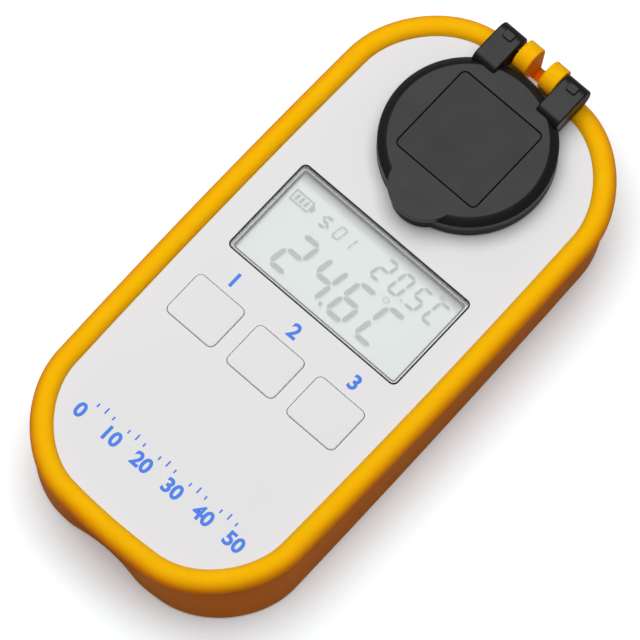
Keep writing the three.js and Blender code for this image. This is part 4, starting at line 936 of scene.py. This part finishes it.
# Painted shadow: each figure gets a fainter copy of itself on the reflector behind the glass, a little to one side,
# for the shadow that it throws there.
shadow_shift = np.array([0.32, -0.22]) * MM
segment_shadows = [shape + shadow_shift for shape in shapes]
shadow_holes = {number: [loop + shadow_shift for loop in loops] for number, loops in holes.items()}
piece("display_segment_shadows", raised(segment_shadows, ink_low, ink_low + 0.008 * MM, shadow_holes), "base", painted_segment_shadow)

# Printed marks: plain blue figures, silk-screened on the panel as a thin film of ink. The keys are
# numbered, and a measuring scale runs across the near end.

print_blue = moulded_plastic("print_blue", (0.05, 0.2, 0.8), 0.5, cloud=0.06, specular=0.3)
PRINT_LOW = FACE_Z + 0.003 * MM
PRINT_THICKNESS = 0.012 * MM


def lettered(words, size, x, y, bold=0.0):
    """Skins of figures set with their middle at (x, y), as a thin film on the panel."""
    curve = bpy.data.curves.new("figures", "FONT")
    curve.body = words
    curve.size = size
    curve.offset = bold
    curve.align_x = "CENTER"
    curve.align_y = "CENTER"
    curve.resolution_u = 6
    setting = bpy.data.objects.new("figures", curve)
    bpy.context.scene.collection.objects.link(setting)
    shape = bpy.data.meshes.new_from_object(setting.evaluated_get(bpy.context.evaluated_depsgraph_get()))
    bpy.data.objects.remove(setting)
    film = bmesh.new()
    film.from_mesh(shape)
    bmesh.ops.remove_doubles(film, verts=film.verts, dist=0.002 * MM)
    made = bmesh.ops.extrude_face_region(film, geom=film.faces[:])
    bmesh.ops.translate(film, verts=[v for v in made["geom"] if isinstance(v, bmesh.types.BMVert)],
                        vec=(0, 0, PRINT_THICKNESS))
    bmesh.ops.triangulate(film, faces=film.faces)
    film.verts.index_update()
    points = np.array([vertex.co for vertex in film.verts]) + [x, y, PRINT_LOW]
    faces = np.array([[vertex.index for vertex in face.verts] for face in film.faces])
    film.free()
    return points, faces


marks = [lettered(number, 4.0 * MM, x * MM, FACE_Y - 8.05 * MM, bold=0.13 * MM)
         for number, x in (("1", -14.1), ("2", 0.0), ("3", 14.1))]
TICK_STEP = 1.8 * MM
TICK_HALF = 0.16 * MM
scale_y = FACE_Y - 43.8 * MM
tick_y = FACE_Y - 41.4 * MM
for step in range(21):
    x = TICK_STEP * (step - 10)
    if step % 4 == 0:
        marks.append(lettered(str(10 * (step // 4)), 3.9 * MM, x, scale_y, bold=0.14 * MM))
        continue
    end = tick_y + (1.3 * MM if step % 4 == 2 else 0.8 * MM)
    tick = np.array([[x - TICK_HALF, tick_y], [x + TICK_HALF, tick_y], [x + TICK_HALF, end], [x - TICK_HALF, end]])
    marks += raised([tick], PRINT_LOW, PRINT_LOW + PRINT_THICKNESS)
piece("printed_figures", marks, "base", print_blue)

# Floor and light: a pale seamless floor, lifted a little where the camera sees it, as a white sweep is. One
# large soft lamp hangs over the part's far left, as in a product photograph, and a faint even light fills in.

FLOOR_LIT = (0.32, 0.335, 0.34)
FLOOR_SEEN = (1.0, 1.075, 1.105)
FLOOR_GLOW = 0.13
FLOOR_HALF = 3.0
FLOOR_Z = -0.02 * MM
floor_finish, floor_tree, unused_shader = blank_finish("studio_floor")
floor_tree.nodes.remove(unused_shader)
to_camera = shader_node(floor_tree, "LightPath").outputs["Is Camera Ray"]
floor_tint = shader_node(floor_tree, "Mix", {"Factor": to_camera, "A": (*FLOOR_LIT, 1), "B": (*FLOOR_SEEN, 1)},
                         data_type="RGBA")
floor_diffuse = shader_node(floor_tree, "BsdfDiffuse", {"Color": floor_tint.outputs["Result"]})
floor_lift = shader_node(floor_tree, "Math", {0: to_camera, 1: FLOOR_GLOW}, operation="MULTIPLY")
floor_glow = shader_node(floor_tree, "Emission", {"Strength": floor_lift.outputs["Value"]})
floor_sum = shader_node(floor_tree, "AddShader", {0: floor_diffuse.outputs["BSDF"], 1: floor_glow.outputs["Emission"]})
fill_inputs(floor_tree, floor_tree.nodes["Material Output"], {"Surface": floor_sum.outputs["Shader"]})
floor_mesh = bpy.data.meshes.new("floor")
floor_mesh.from_pydata([(FLOOR_HALF * x, FLOOR_HALF * y, FLOOR_Z) for x, y in ((-1, -1), (1, -1), (1, 1), (-1, 1))],
                       [], [(0, 1, 2, 3)])
floor_mesh.materials.append(floor_finish)
floor = bpy.data.objects.new("floor", floor_mesh)
bpy.context.scene.collection.objects.link(floor)

WORLD_LIT = 0.15
world = bpy.data.worlds.new("studio")
bpy.context.scene.world = world
world.use_nodes = True
world_ray = shader_node(world.node_tree, "LightPath").outputs["Is Camera Ray"]
world_lift = shader_node(world.node_tree, "MapRange", {"Value": world_ray, "To Min": WORLD_LIT})
fill_inputs(world.node_tree, world.node_tree.nodes["Background"],
            {"Color": (1, 1, 1, 1), "Strength": world_lift.outputs["Result"]})

LAMP_PLACE = Vector((-0.14, 0.085, 1.0))
lamp = bpy.data.lights.new("overhead_lamp", "AREA")
lamp.shape = "SQUARE"
lamp.size = 1.15
lamp.energy = 12.45
lamp_object = bpy.data.objects.new("overhead_lamp", lamp)
lamp_object.location = LAMP_PLACE
lamp_object.rotation_euler = (-LAMP_PLACE).to_track_quat("-Z", "Y").to_euler()
bpy.context.scene.collection.objects.link(lamp_object)

# Camera: at the photograph's viewing angle, worked out from the body's outline, keys and window. Three turns
# take the part's axes to the picture's, and the lens follows from the pixels that a millimetre takes.

VIEW_TILT = (-0.332, 0.0156, -0.7316)
VIEW_DISTANCE = 1000 / 0.7 * MM
VIEW_ORIGIN = Vector((0.851 * MM, 3.5368 * MM, -VIEW_DISTANCE))
PIXELS_PER_MM = 5.7133
PICTURE_WIDTH = 640
SENSOR_WIDTH = 36.0
tilt_x, tilt_y, tilt_z = (Matrix.Rotation(angle, 3, axis) for angle, axis in zip(VIEW_TILT, "XYZ"))
view_to_world = (tilt_x @ tilt_y @ tilt_z).transposed()
camera_place = Vector((0, FACE_Y, FACE_Z)) - view_to_world @ VIEW_ORIGIN
camera_data = bpy.data.cameras.new("camera")
camera_data.sensor_width = SENSOR_WIDTH
camera_data.lens = PIXELS_PER_MM * (VIEW_DISTANCE / MM) / PICTURE_WIDTH * SENSOR_WIDTH
camera_data.clip_end = 20
camera = bpy.data.objects.new("camera", camera_data)
camera.matrix_world = Matrix.Translation(camera_place) @ view_to_world.to_4x4()
bpy.context.scene.collection.objects.link(camera)
bpy.context.scene.camera = camera
bpy.context.scene.view_settings.view_transform = "Standard"
